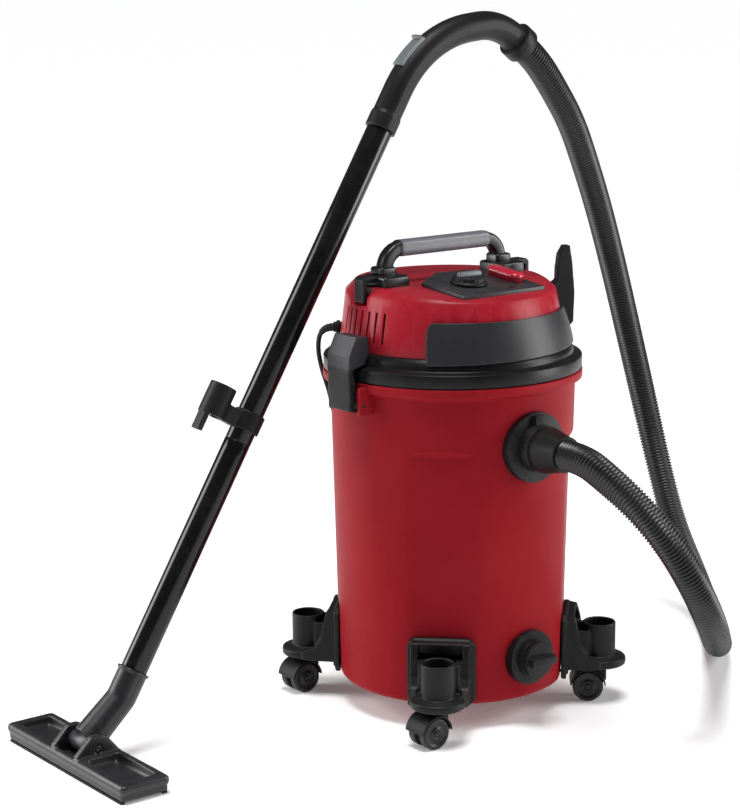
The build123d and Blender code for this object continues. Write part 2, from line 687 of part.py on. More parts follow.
def make_tube_clip():
    """Parking clip that slides on the upper tube: ring, arm, open sleeve and finger."""
    start = WAND_FOOT + WAND_DIR * CLIP_AT
    ring = pipe(start, WAND_DIR, 20.5, TUBE_OD / 2 + FIT, 25)
    frame = Plane(origin=start + WAND_DIR * 12.5, x_dir=grip_normal(), z_dir=Vector(0, -1, 0))
    arm = Pos(31, 3, 0) * Box(30, 23, 18)
    bore = Pos(56, -6, 0) * Rot(90, 0, 0) * Cylinder(13.5, 50)
    sleeve = Pos(56, -6, 0) * Rot(90, 0, 0) * Cylinder(18, 42) - bore
    sleeve -= Pos(56, -6, -15) * Box(17, 50, 20)
    finger = Pos(67, 26, 0) * Box(8, 26, 16)
    clip = ring + frame * (arm - bore) + frame * sleeve + frame * finger
    return clip - rod(start - WAND_DIR * 5, WAND_DIR, TUBE_OD / 2 + FIT, 40)


CLIP_AT = 334.5


# ---- floor nozzle ----
def make_nozzle_neck():
    collar = pipe(WAND_FOOT - WAND_DIR * 10, WAND_DIR, 21, TUBE_OD / 2 + 0.1, 34)
    elbow_top = WAND_FOOT - WAND_DIR * 9.9
    knee = WAND_FOOT - WAND_DIR * 42
    pivot = Vector(NOZZLE_X, WAND_Y, NOZZLE_PIVOT_Z)
    toward = (pivot - knee).normalized()
    path = FilletPolyline(elbow_top, knee, pivot - toward * 9, radius=60)
    neck = sweep(Plane(origin=path @ 0, z_dir=path % 0) * Circle(18.5), path=path)
    barrel = rod(pivot - Vector(0, 22, 0), (0, 1, 0), 13, 44)
    pins = rod(pivot - Vector(0, 31, 0), (0, 1, 0), 5, 62)
    hollow = sweep(Plane(origin=path @ 0, z_dir=path % 0) * Circle(15), path=path)
    bore = rod(pivot - toward * 12, toward, 9, 40)
    neck = neck - hollow + barrel + pins
    neck = neck - rod(pivot - toward * 14, toward, 9, 34)
    neck -= box(NOZZLE_X - 60, NOZZLE_X + 45, WAND_Y - 21, WAND_Y + 21, 0, 20.6)
    return neck + collar


def nozzle_outline(inset, z0, z1):
    hw, hl = NOZZLE_W / 2 - inset, NOZZLE_L / 2 - inset
    return box(NOZZLE_X - hw, NOZZLE_X + hw, WAND_Y - hl, WAND_Y + hl, z0, z1)


def make_nozzle_body():
    body = nozzle_outline(0, 3, NOZZLE_H)
    body = chamfer(body.edges().filter_by(Axis.Y).group_by(Axis.Z)[-1], 7)
    body = chamfer(body.edges().filter_by(Axis.Z), 6)
    body -= nozzle_outline(9, 2, 14)
    for side in (-1, 1):
        y0, y1 = sorted((WAND_Y + side * 40, WAND_Y + side * 134))
        body -= box(NOZZLE_X - 26, NOZZLE_X + 26, y0, y1, 17, 40)
    body -= box(NOZZLE_X - 26, NOZZLE_X + 28, WAND_Y - 23, WAND_Y + 23, 17.5, 40)
    body -= box(NOZZLE_X - 40, NOZZLE_X - 25, WAND_Y - 23, WAND_Y + 23, 19.5, 40)
    body -= box(NOZZLE_X + 25, NOZZLE_X + 45, WAND_Y - 23, WAND_Y + 23, 12, 40)
    body -= upright(NOZZLE_X, WAND_Y, 2, 20, 9)
    ears = []
    for side in (-1, 1):
        y0, y1 = sorted((WAND_Y + side * 23, WAND_Y + side * 31))
        ear = side_prism([(-28, 14), (28, 14), (28, 24), (12, 46), (-12, 46), (-28, 26)], (y1 - y0) / 2)
        ears.append(Pos(NOZZLE_X, (y0 + y1) / 2, 0) * ear)
    body = body + ears[0] + ears[1]
    return body - rod((NOZZLE_X, WAND_Y - 50, NOZZLE_PIVOT_Z), (0, 1, 0), 5 + FIT, 100)


def make_nozzle_strips():
    strips = []
    for x in (NOZZLE_X - NOZZLE_W / 2 + 5, NOZZLE_X + NOZZLE_W / 2 - 5):
        strips.append(box(x - 3, x + 3, WAND_Y - 138, WAND_Y + 138, 0, 3))
    return group(*strips)


# ---- mains lead ----
def make_mains_coil():
    x, y = COIL_AT
    return upright(x, y, 0.1, COIL_H, COIL_R_OUT) - upright(x, y, -1, COIL_H + 1, COIL_R_IN)


def make_mains_plug():
    x, y = PLUG_AT
    z = COIL_H + 0.2
    body = box(x - 15, x + 15, y - 16, y + 16, z, z + 20)
    body = chamfer(body.edges().filter_by(Axis.X), 5)
    relief = rod((x + 15, y, z + 10), (1, 0, 0), 6, 16)
    pins = [rod((x - 15, y + dy, z + 10), (-1, 0, 0), 2.4, 19) for dy in (-9.5, 9.5)]
    return body + relief + pins[0] + pins[1]


NODES = {
    "drum": make_drum, "inlet_port": make_inlet_port, "drain_port": make_drain_port,
    "drain_cap": make_drain_cap, "bracket_screws": make_bracket_screws, "latch_pins": make_latch_pins,
    "latch_left": make_latch, "latch_right": lambda: mirror_x(make_latch()),
    "lid_base": make_lid_base, "lid_gasket": make_lid_gasket, "motor_cover": make_motor_cover,
    "front_band": make_front_band, "control_panel": make_control_panel, "power_knob": make_power_knob,
    "switch_button": make_switch_button, "indicator_lens": make_indicator_lens,
    "switch_body": make_switch_body, "speed_board": make_speed_board, "carry_handle": make_carry_handle,
    "head_screws": make_head_screws, "cord_hooks": make_cord_hooks, "cord_wrap": make_cord_wrap,
    "cable_gland": make_cable_gland, "blower_port": make_blower_port, "motor_can": make_motor_can,
    "motor_bearings": make_motor_bearings, "fan_shroud": make_fan_shroud, "shroud_seal": make_shroud_seal,
    "motor_rotor": make_motor_rotor, "impeller": make_impeller, "float_cage": make_float_cage,
    "float_ball": make_float_ball, "filter_cartridge": make_filter,
    "filter_retainer": make_filter_retainer, "hose_cuff": make_hose_cuff, "grip": make_grip,
    "hose_collar": make_hose_collar, "bleed_slider": make_bleed_slider, "upper_tube": make_upper_tube,
    "lower_tube": make_lower_tube, "tube_clip": make_tube_clip, "nozzle_neck": make_nozzle_neck,
    "nozzle_body": make_nozzle_body, "nozzle_strips": make_nozzle_strips,
    "mains_coil": make_mains_coil, "mains_plug": make_mains_plug,
    "hose": lambda: free_tube("hose", HOSE_ROUTE, HOSE_OD, 16),
    "mains_cord": lambda: free_tube("mains cord", CORD_ROUTE, CORD_D),
}
TRAILS = {"front_left": 180, "front_right": 140, "rear_left": 180, "rear_right": 200}

os.makedirs("parts", exist_ok=True)
for name, make in NODES.items():
    export_step(make(), f"parts/{name}.step")
for corner, angle in CORNERS.items():
    frame = castor_frame(angle, TRAILS[corner])
    export_step(make_bracket(angle), f"parts/bracket_{corner}.step")
    export_step(frame * make_castor_hood(), f"parts/castor_hood_{corner}.step")
    export_step(frame * make_castor_wheels(), f"parts/castor_wheels_{corner}.step")
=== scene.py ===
"""Wheeled drum shop vacuum: looks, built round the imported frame. Metres, +Z up, -Y toward the hose inlet."""
import json
import math

import bmesh
import bpy
from mathutils import Matrix, Vector


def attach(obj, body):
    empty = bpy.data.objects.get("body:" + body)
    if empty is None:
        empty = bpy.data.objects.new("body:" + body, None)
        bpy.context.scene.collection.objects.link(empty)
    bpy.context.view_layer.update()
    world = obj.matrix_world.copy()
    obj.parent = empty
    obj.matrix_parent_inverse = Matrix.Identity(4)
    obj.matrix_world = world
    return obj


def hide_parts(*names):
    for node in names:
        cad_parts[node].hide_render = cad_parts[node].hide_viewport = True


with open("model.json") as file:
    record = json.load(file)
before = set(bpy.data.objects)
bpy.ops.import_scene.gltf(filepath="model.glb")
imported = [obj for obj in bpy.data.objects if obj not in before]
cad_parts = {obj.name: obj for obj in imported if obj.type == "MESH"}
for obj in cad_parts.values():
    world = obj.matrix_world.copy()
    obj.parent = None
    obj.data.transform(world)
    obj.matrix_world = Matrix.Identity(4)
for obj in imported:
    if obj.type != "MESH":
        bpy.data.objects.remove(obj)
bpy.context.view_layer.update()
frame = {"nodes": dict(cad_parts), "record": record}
RECORD = frame["record"]
BODY_OF = {node: body for body, nodes in RECORD["behaviour"]["bodies"].items() for node in nodes}
SLOT_OF = {part["node"]: part["material_slot"] for part in RECORD["subparts"]}
CORNERS = {"front_left": -135, "front_right": -45, "rear_left": 135, "rear_right": 45}
MM = 0.001

# light
FLOOR_GLOW, SKY_GLOW, SUN_STRENGTH, SOFTBOX_WATTS = 0.12, 0.06, 2.8, 54

# hose and lead, in metres
HOSE_PITCH, HOSE_CREST, HOSE_GROOVE = 4.6 * MM, 20 * MM, 17.8 * MM
CORD_RADIUS, RELIEF_LENGTH = 3.3 * MM, 0.030

# drum, in millimetres
FOOT_Z, FOOT_RADIUS, RIM_Z, RIM_GROWTH = 44, 154.5, 445, 9.0
FLAT_DEPTH, FRONT_FLAT_TOP, REAR_FLAT_TOP = 6, 371, 136
INLET_Z, INLET_HOLE, DRAIN_Z, DRAIN_HOLE = 377, 27, 93, 17

# wand, grip and panel measures shared by several pieces, in metres
WAND_FOOT, WAND_HEAD = Vector((-0.463, 0.075, 0.1126)), Vector((-0.0464, 0.075, 0.7974))
WAND_DIR = (WAND_HEAD - WAND_FOOT).normalized()
GRIP_END = Vector((0.190, 0.075, 0.869))
PANEL_SLOPE = math.radians(6)
PANEL_UP = Vector((0, -math.sin(PANEL_SLOPE), math.cos(PANEL_SLOPE)))


# ---------------------------------------------------------------- camera, floor and light
def set_camera():
    heading, pitch, distance, height = math.radians(-39.64), 0.21, 2.885, 1.0186
    back = Vector((math.sin(heading), -math.cos(heading), 0))
    side = Vector((math.cos(heading), math.sin(heading), 0))
    ahead = -back * math.cos(pitch) - Vector((0, 0, math.sin(pitch)))
    up = side.cross(ahead)
    ahead = (ahead - side * math.tan(math.radians(2.15))).normalized()
    side = ahead.cross(up).normalized()
    data = bpy.data.cameras.new("camera")
    data.lens, data.sensor_width = 97.4, 36
    data.clip_start, data.clip_end = 0.05, 200
    camera = bpy.data.objects.new("camera", data)
    bpy.context.collection.objects.link(camera)
    turn = Matrix((side, up, -ahead)).transposed().to_4x4()
    camera.matrix_world = Matrix.Translation(back * distance + Vector((0, 0, height))) @ turn
    bpy.context.scene.camera = camera


def add_area(name, at, toward, width, height, power):
    data = bpy.data.lights.new(name, "AREA")
    data.shape, data.size, data.size_y, data.energy = "RECTANGLE", width, height, power
    lamp = bpy.data.objects.new(name, data)
    bpy.context.collection.objects.link(lamp)
    lamp.location = at
    lamp.rotation_euler = (Vector(toward) - Vector(at)).to_track_quat("-Z", "Y").to_euler()


def set_studio():
    bpy.ops.mesh.primitive_plane_add(size=160)
    floor = bpy.context.object
    floor.name = "studio_floor"
    tree_material(floor, "floor_paper", floor_finish)
    world = bpy.data.worlds.new("studio")
    bpy.context.scene.world = world
    world.use_nodes = True
    world.node_tree.nodes["Background"].inputs["Color"].default_value = (0.97, 0.98, 1.0, 1)
    world.node_tree.nodes["Background"].inputs["Strength"].default_value = SKY_GLOW
    sun = bpy.data.lights.new("overhead", "SUN")
    sun.energy, sun.angle = SUN_STRENGTH, math.radians(26)
    lamp = bpy.data.objects.new("overhead", sun)
    bpy.context.collection.objects.link(lamp)
    lamp.rotation_euler = (math.radians(6), math.radians(-8), 0)
    add_area("left_softbox", (-1.85, 1.55, 1.1), (0, 0, 0.35), 1.0, 2.0, SOFTBOX_WATTS)
    add_area("right_softbox", (1.85, -1.55, 1.1), (0, 0, 0.35), 1.0, 2.0, SOFTBOX_WATTS)
    bpy.context.scene.view_settings.view_transform = "Standard"


# ---------------------------------------------------------------- shader groups
def shader_group(name, inputs, outputs):
    tree = bpy.data.node_groups.new(name, "ShaderNodeTree")
    for label, value in inputs.items():
        socket = tree.interface.new_socket(label, in_out="INPUT", socket_type="NodeSocketFloat")
        socket.default_value = value
    for label in outputs:
        tree.interface.new_socket(label, in_out="OUTPUT", socket_type="NodeSocketFloat")
    return tree, tree.nodes.new("NodeGroupInput"), tree.nodes.new("NodeGroupOutput")


def maths(tree, operation, first, second=None, clamp=False):
    """A Math node; first and second are sockets or plain numbers."""
    node = tree.nodes.new("ShaderNodeMath")
    node.operation, node.use_clamp = operation, clamp
    for socket, value in zip(node.inputs, (first, second)):
        if value is None:
            continue
        if isinstance(value, bpy.types.NodeSocket):
            tree.links.new(value, socket)
        else:
            socket.default_value = value
    return node.outputs[0]


def noise(tree, scale, detail, vector, rough=0.5):
    node = tree.nodes.new("ShaderNodeTexNoise")
    node.inputs["Detail"].default_value, node.inputs["Roughness"].default_value = detail, rough
    if isinstance(scale, bpy.types.NodeSocket):
        tree.links.new(scale, node.inputs["Scale"])
    else:
        node.inputs["Scale"].default_value = scale
    tree.links.new(vector, node.inputs["Vector"])
    return node.outputs["Fac"]


def remap(tree, value, low, high, out_low=0.0, out_high=1.0):
    node = tree.nodes.new("ShaderNodeMapRange")
    node.inputs["From Min"].default_value, node.inputs["From Max"].default_value = low, high
    node.inputs["To Min"].default_value, node.inputs["To Max"].default_value = out_low, out_high
    tree.links.new(value, node.inputs["Value"])
    return node.outputs["Result"]


def object_coords(tree, stretch=None):
    coords = tree.nodes.new("ShaderNodeTexCoord").outputs["Object"]
    if stretch is None:
        return coords
    mapping = tree.nodes.new("ShaderNodeMapping")
    mapping.inputs["Scale"].default_value = stretch
    tree.links.new(coords, mapping.inputs["Vector"])
    return mapping.outputs["Vector"]


def make_mould_grain():
    """Spark-eroded mould texture: a fine pebble with a slow mottle under it."""
    tree, given, out = shader_group("mould_grain", {"Scale": 900.0, "Depth": 1.0}, ["Height", "Mottle"])
    coords = object_coords(tree)
    pebble = tree.nodes.new("ShaderNodeTexVoronoi")
    pebble.feature = "SMOOTH_F1"
    tree.links.new(coords, pebble.inputs["Vector"])
    tree.links.new(given.outputs["Scale"], pebble.inputs["Scale"])
    fine = noise(tree, maths(tree, "MULTIPLY", given.outputs["Scale"], 1.7), 3, coords)
    both = maths(tree, "ADD", maths(tree, "MULTIPLY", pebble.outputs["Distance"], 0.6), fine)
    tree.links.new(maths(tree, "MULTIPLY", both, given.outputs["Depth"]), out.inputs["Height"])
    tree.links.new(remap(tree, noise(tree, 9.0, 4, coords, 0.6), 0.3, 0.7), out.inputs["Mottle"])
    return tree


def make_edge_rub():
    """Where hands and boxes rub the corners: bright convex edges broken up by noise."""
    tree, given, out = shader_group("edge_rub", {"Amount": 1.0, "Sharpness": 40.0}, ["Mask"])
    shape = tree.nodes.new("ShaderNodeNewGeometry")
    convex = maths(tree, "SUBTRACT", shape.outputs["Pointiness"], 0.5)
    convex = maths(tree, "MULTIPLY", convex, given.outputs["Sharpness"], clamp=True)
    broken = remap(tree, noise(tree, 70.0, 5, object_coords(tree), 0.65), 0.42, 0.7)
    mask = maths(tree, "MULTIPLY", convex, broken)
    tree.links.new(maths(tree, "MULTIPLY", mask, given.outputs["Amount"], clamp=True), out.inputs["Mask"])
    return tree


def make_settled_dust():
    """Fine dust that settles on faces that look up, in soft patches."""
    tree, given, out = shader_group("settled_dust", {"Amount": 0.3}, ["Mask"])
    shape = tree.nodes.new("ShaderNodeNewGeometry")
    split = tree.nodes.new("ShaderNodeSeparateXYZ")
    tree.links.new(shape.outputs["Normal"], split.inputs[0])
    facing_up = remap(tree, split.outputs["Z"], 0.35, 1.0)
    patches = remap(tree, noise(tree, 26.0, 6, object_coords(tree), 0.7), 0.35, 0.75)
    mask = maths(tree, "MULTIPLY", facing_up, patches)
    tree.links.new(maths(tree, "MULTIPLY", mask, given.outputs["Amount"], clamp=True), out.inputs["Mask"])
    return tree


def make_wipe_marks():
    """Faint smears left by wiping, which vary the gloss."""
    tree, given, out = shader_group("wipe_marks", {"Amount": 1.0, "Scale": 14.0}, ["Rough"])
    smear = noise(tree, given.outputs["Scale"], 6, object_coords(tree, (1.0, 1.0, 0.22)), 0.62)
    scratch = noise(tree, 160.0, 2, object_coords(tree, (1.0, 1.0, 0.04)), 0.4)
    both = maths(tree, "ADD", remap(tree, smear, 0.3, 0.75), remap(tree, scratch, 0.62, 0.8, 0, 0.5))
    tree.links.new(maths(tree, "MULTIPLY", both, given.outputs["Amount"]), out.inputs["Rough"])
    return tree


GROUPS = {"grain": make_mould_grain(), "rub": make_edge_rub(), "dust": make_settled_dust(),
          "wipe": make_wipe_marks()}


def use_group(tree, key, **values):
    node = tree.nodes.new("ShaderNodeGroup")
    node.node_tree = GROUPS[key]
    for label, value in values.items():
        node.inputs[label].default_value = value
    return node


def blend_colour(tree, mask, first, second):
    node = tree.nodes.new("ShaderNodeMix")
    node.data_type = "RGBA"
    tree.links.new(mask, node.inputs["Factor"])
    for socket, value in ((node.inputs[6], first), (node.inputs[7], second)):
        if isinstance(value, bpy.types.NodeSocket):
            tree.links.new(value, socket)
        else:
            socket.default_value = (*value, 1)
    return node.outputs[2]


# ---------------------------------------------------------------- materials
def new_material(name):
    material = bpy.data.materials.new(name)
    material.use_nodes = True
    return material, material.node_tree, material.node_tree.nodes["Principled BSDF"]


def add_bump(tree, shader, height, strength, distance):
    bump = tree.nodes.new("ShaderNodeBump")
    bump.inputs["Strength"].default_value, bump.inputs["Distance"].default_value = strength, distance
    tree.links.new(height, bump.inputs["Height"])
    tree.links.new(bump.outputs["Normal"], shader.inputs["Normal"])


def tree_material(piece, name, finish):
    material, tree, shader = new_material(name)
    finish(tree, shader)
    piece.data.materials.clear()
    piece.data.materials.append(material)


def floor_finish(tree, shader):
    mottle = use_group(tree, "grain", Scale=300.0).outputs["Mottle"]
    paper = blend_colour(tree, mottle, (0.95, 0.95, 0.96), (0.98, 0.98, 0.985))
    tree.links.new(paper, shader.inputs["Base Color"])
    shader.inputs["Roughness"].default_value = 0.9
    shader.inputs["Specular IOR Level"].default_value = 0.1
    shader.inputs["Emission Color"].default_value = (1, 1, 1, 1)
    shader.inputs["Emission Strength"].default_value = FLOOR_GLOW


def plastic(name, colour, rough, specular=0.5, grain=900.0, depth=0.08, rub=0.5, dust=0.12, mottle=0.12,
            rub_colour=None, coat=0.0, wipe=0.08):
    """Moulded plastic: mottled colour, rubbed edges, dust on top, grain in the bump and smears in the gloss."""
    material, tree, shader = new_material(name)
    grain_node = use_group(tree, "grain", Scale=grain)
    light = tuple(min(1, c * (1 + mottle) + 0.004) for c in colour)
    dark = tuple(c * (1 - mottle) for c in colour)
    tone = blend_colour(tree, grain_node.outputs["Mottle"], dark, light)
    worn = rub_colour or tuple(min(1, c * 1.6 + 0.035) for c in colour)
    tone = blend_colour(tree, use_group(tree, "rub", Amount=rub).outputs["Mask"], tone, worn)
    dust_mask = use_group(tree, "dust", Amount=dust).outputs["Mask"]
    tone = blend_colour(tree, dust_mask, tone, (0.22, 0.21, 0.20))
    tree.links.new(tone, shader.inputs["Base Color"])
    gloss = maths(tree, "ADD", use_group(tree, "wipe", Amount=wipe).outputs["Rough"], rough - wipe * 0.5)
    gloss = maths(tree, "ADD", gloss, maths(tree, "MULTIPLY", dust_mask, 0.4), clamp=True)
    tree.links.new(gloss, shader.inputs["Roughness"])
    add_bump(tree, shader, grain_node.outputs["Height"], depth, 0.6 * MM)
    shader.inputs["Specular IOR Level"].default_value = specular
    shader.inputs["Coat Weight"].default_value, shader.inputs["Coat Roughness"].default_value = coat, 0.12
    return material


def metal(name, colour, rough):
    material, tree, shader = new_material(name)
    lines = noise(tree, 420.0, 3, object_coords(tree, (1, 1, 0.05)))
    tone = blend_colour(tree, lines, tuple(c * 0.82 for c in colour), colour)
    tree.links.new(tone, shader.inputs["Base Color"])
    tree.links.new(remap(tree, lines, 0.2, 0.8, rough - 0.08, rough + 0.14), shader.inputs["Roughness"])
    add_bump(tree, shader, lines, 0.3, 0.2 * MM)
    shader.inputs["Metallic"].default_value = 1.0
    return material


def windings(name):
    """Laminated iron with lacquered copper wire bands."""
    material, tree, shader = new_material(name)
    wave = tree.nodes.new("ShaderNodeTexWave")
    wave.bands_direction = "Z"
    wave.inputs["Scale"].default_value, wave.inputs["Distortion"].default_value = 160.0, 1.2
    tree.links.new(object_coords(tree), wave.inputs["Vector"])
    tree.links.new(blend_colour(tree, wave.outputs["Fac"], (0.22, 0.07, 0.03), (0.62, 0.29, 0.13)),
                   shader.inputs["Base Color"])
    tree.links.new(remap(tree, wave.outputs["Fac"], 0, 1, 0.3, 0.5), shader.inputs["Roughness"])
    shader.inputs["Metallic"].default_value = 0.8
    return material


def pleated_paper(name):
    material, tree, shader = new_material(name)
    fibre = noise(tree, 700.0, 6, object_coords(tree, (1, 1, 0.3)), 0.7)
    paper = blend_colour(tree, fibre, (0.66, 0.63, 0.55), (0.86, 0.84, 0.77))
    tree.links.new(paper, shader.inputs["Base Color"])
    add_bump(tree, shader, fibre, 0.5, 0.4 * MM)
    shader.inputs["Roughness"].default_value = 0.95
    return material


def smoked_lens(name):
    material, tree, shader = new_material(name)
    speck = use_group(tree, "grain", Scale=1500.0).outputs["Mottle"]
    smoke = blend_colour(tree, speck, (0.012, 0.012, 0.014), (0.03, 0.03, 0.035))
    tree.links.new(smoke, shader.inputs["Base Color"])
    shader.inputs["Roughness"].default_value = 0.08
    shader.inputs["Coat Weight"].default_value = 1.0
    return material


def two_tone(material, axis, level, width, tone):
    """A second colour past a level along Z, or past it on both sides along X."""
    tree, shader = material.node_tree, material.node_tree.nodes["Principled BSDF"]
    split = tree.nodes.new("ShaderNodeSeparateXYZ")
    tree.links.new(object_coords(tree), split.inputs[0])
    along = split.outputs[axis]
    if axis == "X":
        along = maths(tree, "ABSOLUTE", along)
    mask = remap(tree, along, level, level + width)
    before = shader.inputs["Base Color"].links[0].from_socket
    tree.links.new(blend_colour(tree, mask, before, tone), shader.inputs["Base Color"])
    return material


RED = (0.255, 0.005, 0.0105)
BLACK = (0.0055, 0.0055, 0.006)
MATERIALS = {
    "drum_plastic": plastic("red_drum", RED, 0.46, 0.06, grain=700, depth=0.03, rub=0.10, dust=0.02,
                            mottle=0.04, rub_colour=(0.45, 0.05, 0.06), wipe=0.05),
    "cover_plastic": plastic("red_cover", (0.31, 0.008, 0.019), 0.32, 0.16, grain=800, depth=0.02, rub=0.12,
                             dust=0.03, mottle=0.05, rub_colour=(0.50, 0.07, 0.09), wipe=0.06),
    "black_plastic": plastic("black_moulding", BLACK, 0.44, 0.2, grain=1100, depth=0.14, rub=0.35, dust=0.03,
                             rub_colour=(0.03, 0.03, 0.032)),
    "black_gloss": plastic("black_polished", (0.004, 0.004, 0.0045), 0.16, 0.3, grain=600, depth=0.015,
                           rub=0.15, dust=0.015, wipe=0.08, rub_colour=(0.03, 0.03, 0.032)),
    "dark_grey": plastic("graphite_moulding", (0.018, 0.018, 0.020), 0.38, 0.35, grain=1200, depth=0.14,
                         rub=0.3, dust=0.04, rub_colour=(0.07, 0.07, 0.075)),
    "grey_plastic": plastic("grey_moulding", (0.11, 0.125, 0.13), 0.36, 0.4, grain=1200, depth=0.12,
                            rub=0.3, dust=0.05),
    "red_button": plastic("red_button", (0.48, 0.014, 0.035), 0.22, 0.45, grain=900, depth=0.02, rub=0.15,
                          dust=0.03, mottle=0.04, coat=0.3),
    "lens": smoked_lens("smoked_lens"),
    "rubber": plastic("black_rubber", (0.008, 0.008, 0.008), 0.6, 0.18, grain=1600, depth=0.2, rub=0.5,
                      dust=0.06, rub_colour=(0.04, 0.04, 0.04)),
    "steel": metal("zinc_steel", (0.62, 0.62, 0.60), 0.32),
    "motor_steel": metal("motor_steel", (0.32, 0.33, 0.34), 0.42),
    "copper": windings("copper_windings"),
    "aluminium": metal("pressed_aluminium", (0.78, 0.79, 0.80), 0.28),
    "filter_paper": pleated_paper("filter_paper"),
    "board": plastic("circuit_board", (0.02, 0.12, 0.05), 0.35, 0.5, grain=500, depth=0.05),
    "tread": plastic("castor_tread", (0.008, 0.008, 0.0085), 0.34, 0.3, grain=1300, depth=0.1, rub=0.35,
                     dust=0.06, rub_colour=(0.05, 0.05, 0.05)),
}
BLACKENED = metal("blackened_screws", (0.05, 0.05, 0.052), 0.4)
LID_SKIN = plastic("lid_moulding", (0.005, 0.005, 0.0055), 0.32, 0.2, grain=700, depth=0.03, rub=0.2, dust=0.02,
                   rub_colour=(0.03, 0.03, 0.032))
HOSE_SKIN = plastic("hose_skin", (0.006, 0.006, 0.0065), 0.34, 0.42, grain=1500, depth=0.06, rub=0.2, dust=0.03,
                    rub_colour=(0.03, 0.03, 0.032))
NOZZLE_SKIN = plastic("nozzle_moulding", (0.011, 0.011, 0.0125), 0.36, 0.4, grain=1100, depth=0.12, rub=0.6,
                      dust=0.05, rub_colour=(0.06, 0.06, 0.066))
# The bar's grey is a painted sheen: the black moulding's reflection of the light is painted into its colour,
# and the posts past 73 mm either side stay plain black.
HANDLE_PAINTED_SHEEN_SKIN = two_tone(plastic("handle_painted_sheen", (0.12, 0.12, 0.14), 0.34, 0.5, grain=1000, depth=0.1, rub=0.3,
                               dust=0.05), "X", 0.073, 0.002, BLACK)
# The latch's lighter grey above z 478 mm is a painted top highlight; below that the latch is plain black.
LATCH_PAINTED_TOP_LIGHT_SKIN = two_tone(plastic("latch_painted_top_light", BLACK, 0.4, 0.25, grain=600, depth=0.3, rub=0.4, dust=0.04,
                              rub_colour=(0.05, 0.05, 0.055)), "Z", 0.478, 0.003, (0.032, 0.032, 0.037))
for node_name, node in frame["nodes"].items():
    node.data.materials.clear()
    blackened = node_name in ("bracket_screws", "latch_pins")
    node.data.materials.append(BLACKENED if blackened else MATERIALS[SLOT_OF[node_name]])


# ---------------------------------------------------------------- mesh helpers
def add_piece(name, mesh, body, slot, *nodes, skin=None):
    """A finished piece with its material, body and the CAD nodes that it stands for."""
    piece = bpy.data.objects.new(name, mesh)
    bpy.context.collection.objects.link(piece)
    mesh.materials.clear()
    mesh.materials.append(skin or MATERIALS[slot])
    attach(piece, body)
    if nodes:
        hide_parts(*nodes)
    return piece


def mesh_from(name, verts, faces):
    mesh = bpy.data.meshes.new(name)
    mesh.from_pydata([tuple(v) for v in verts], [], faces)
    shape = bmesh.new()
    shape.from_mesh(mesh)
    bmesh.ops.remove_doubles(shape, verts=shape.verts, dist=1e-6)
    bmesh.ops.recalc_face_normals(shape, faces=shape.faces)
    shape.to_mesh(mesh)
    shape.free()
    shade_smooth(mesh)
    return mesh


def shade_smooth(mesh):
    for face in mesh.polygons:
        face.use_smooth = True


def bake(mesh, *steps):
    """Runs modifiers, given as (type, settings), over a mesh and returns the plain result."""
    holder = bpy.data.objects.new("holder", mesh)
    bpy.context.collection.objects.link(holder)
    for kind, settings in steps:
        modifier = holder.modifiers.new(kind.lower(), kind)
        for key, value in settings.items():
            setattr(modifier, key, value)
    done = bpy.data.meshes.new_from_object(holder.evaluated_get(bpy.context.evaluated_depsgraph_get()))
    bpy.data.objects.remove(holder)
    return done


def merged_copy(node_name):
    mesh = frame["nodes"][node_name].data.copy()
    shape = bmesh.new()
    shape.from_mesh(mesh)
    bmesh.ops.remove_doubles(shape, verts=shape.verts, dist=2e-6)
    shape.to_mesh(mesh)
    shape.free()
    return mesh


def moulded(name, node_name, voxel=1.2, passes=4, skin=None):
    """A CAD node with the small radii of a moulding on all its edges."""
    mesh = bake(merged_copy(node_name), ("REMESH", {"mode": "VOXEL", "voxel_size": voxel * MM}),
                ("SMOOTH", {"factor": 0.5, "iterations": passes}))
    shade_smooth(mesh)
    return add_piece(name, mesh, BODY_OF[node_name], SLOT_OF[node_name], node_name, skin=skin)


def crisp(name, node_name, width=0.5):
    """A CAD node with a fine bevel on its sharp edges."""
    mesh = merged_copy(node_name)
    shape = bmesh.new()
    shape.from_mesh(mesh)
    bmesh.ops.dissolve_limit(shape, angle_limit=math.radians(1), verts=shape.verts, edges=shape.edges)
    shape.to_mesh(mesh)
    shape.free()
    shade_smooth(mesh)
    mesh = bake(mesh, ("BEVEL", {"width": width * MM, "segments": 2, "limit_method": "ANGLE",
                                 "angle_limit": math.radians(38), "harden_normals": True}))
    return add_piece(name, mesh, BODY_OF[node_name], SLOT_OF[node_name], node_name)


def lathe(profile, at, axis, steps=96, bevel=0.0):
    """A closed (radius, along) profile turned about an axis, in millimetres from the point at."""
    axis = Vector(axis).normalized()
    side = axis.orthogonal().normalized()
    across = axis.cross(side)
    verts, faces, count = [], [], len(profile)
    for step in range(steps):
        turn = 2 * math.pi * step / steps
        out = side * math.cos(turn) + across * math.sin(turn)
        verts += [Vector(at) + out * (r * MM) + axis * (h * MM) for r, h in profile]
    for step in range(steps):
        a, b = step * count, (step + 1) % steps * count
        for k in range(count):
            n = (k + 1) % count
            faces.append((a + k, b + k, b + n, a + n))
    mesh = mesh_from("turned", verts, faces)
    if bevel:
        mesh = bake(mesh, ("BEVEL", {"width": bevel * MM, "segments": 3, "limit_method": "ANGLE",
                                     "angle_limit": math.radians(28)}))
        shade_smooth(mesh)
    return mesh


def ring_faces(rings, steps):
    """The faces that join each ring of points to the next."""
    faces = []
    for ring in range(rings - 1):
        for step in range(steps):
            n = (step + 1) % steps
            a, b = ring * steps, (ring + 1) * steps
            faces.append((a + step, a + n, b + n, b + step))
    return faces


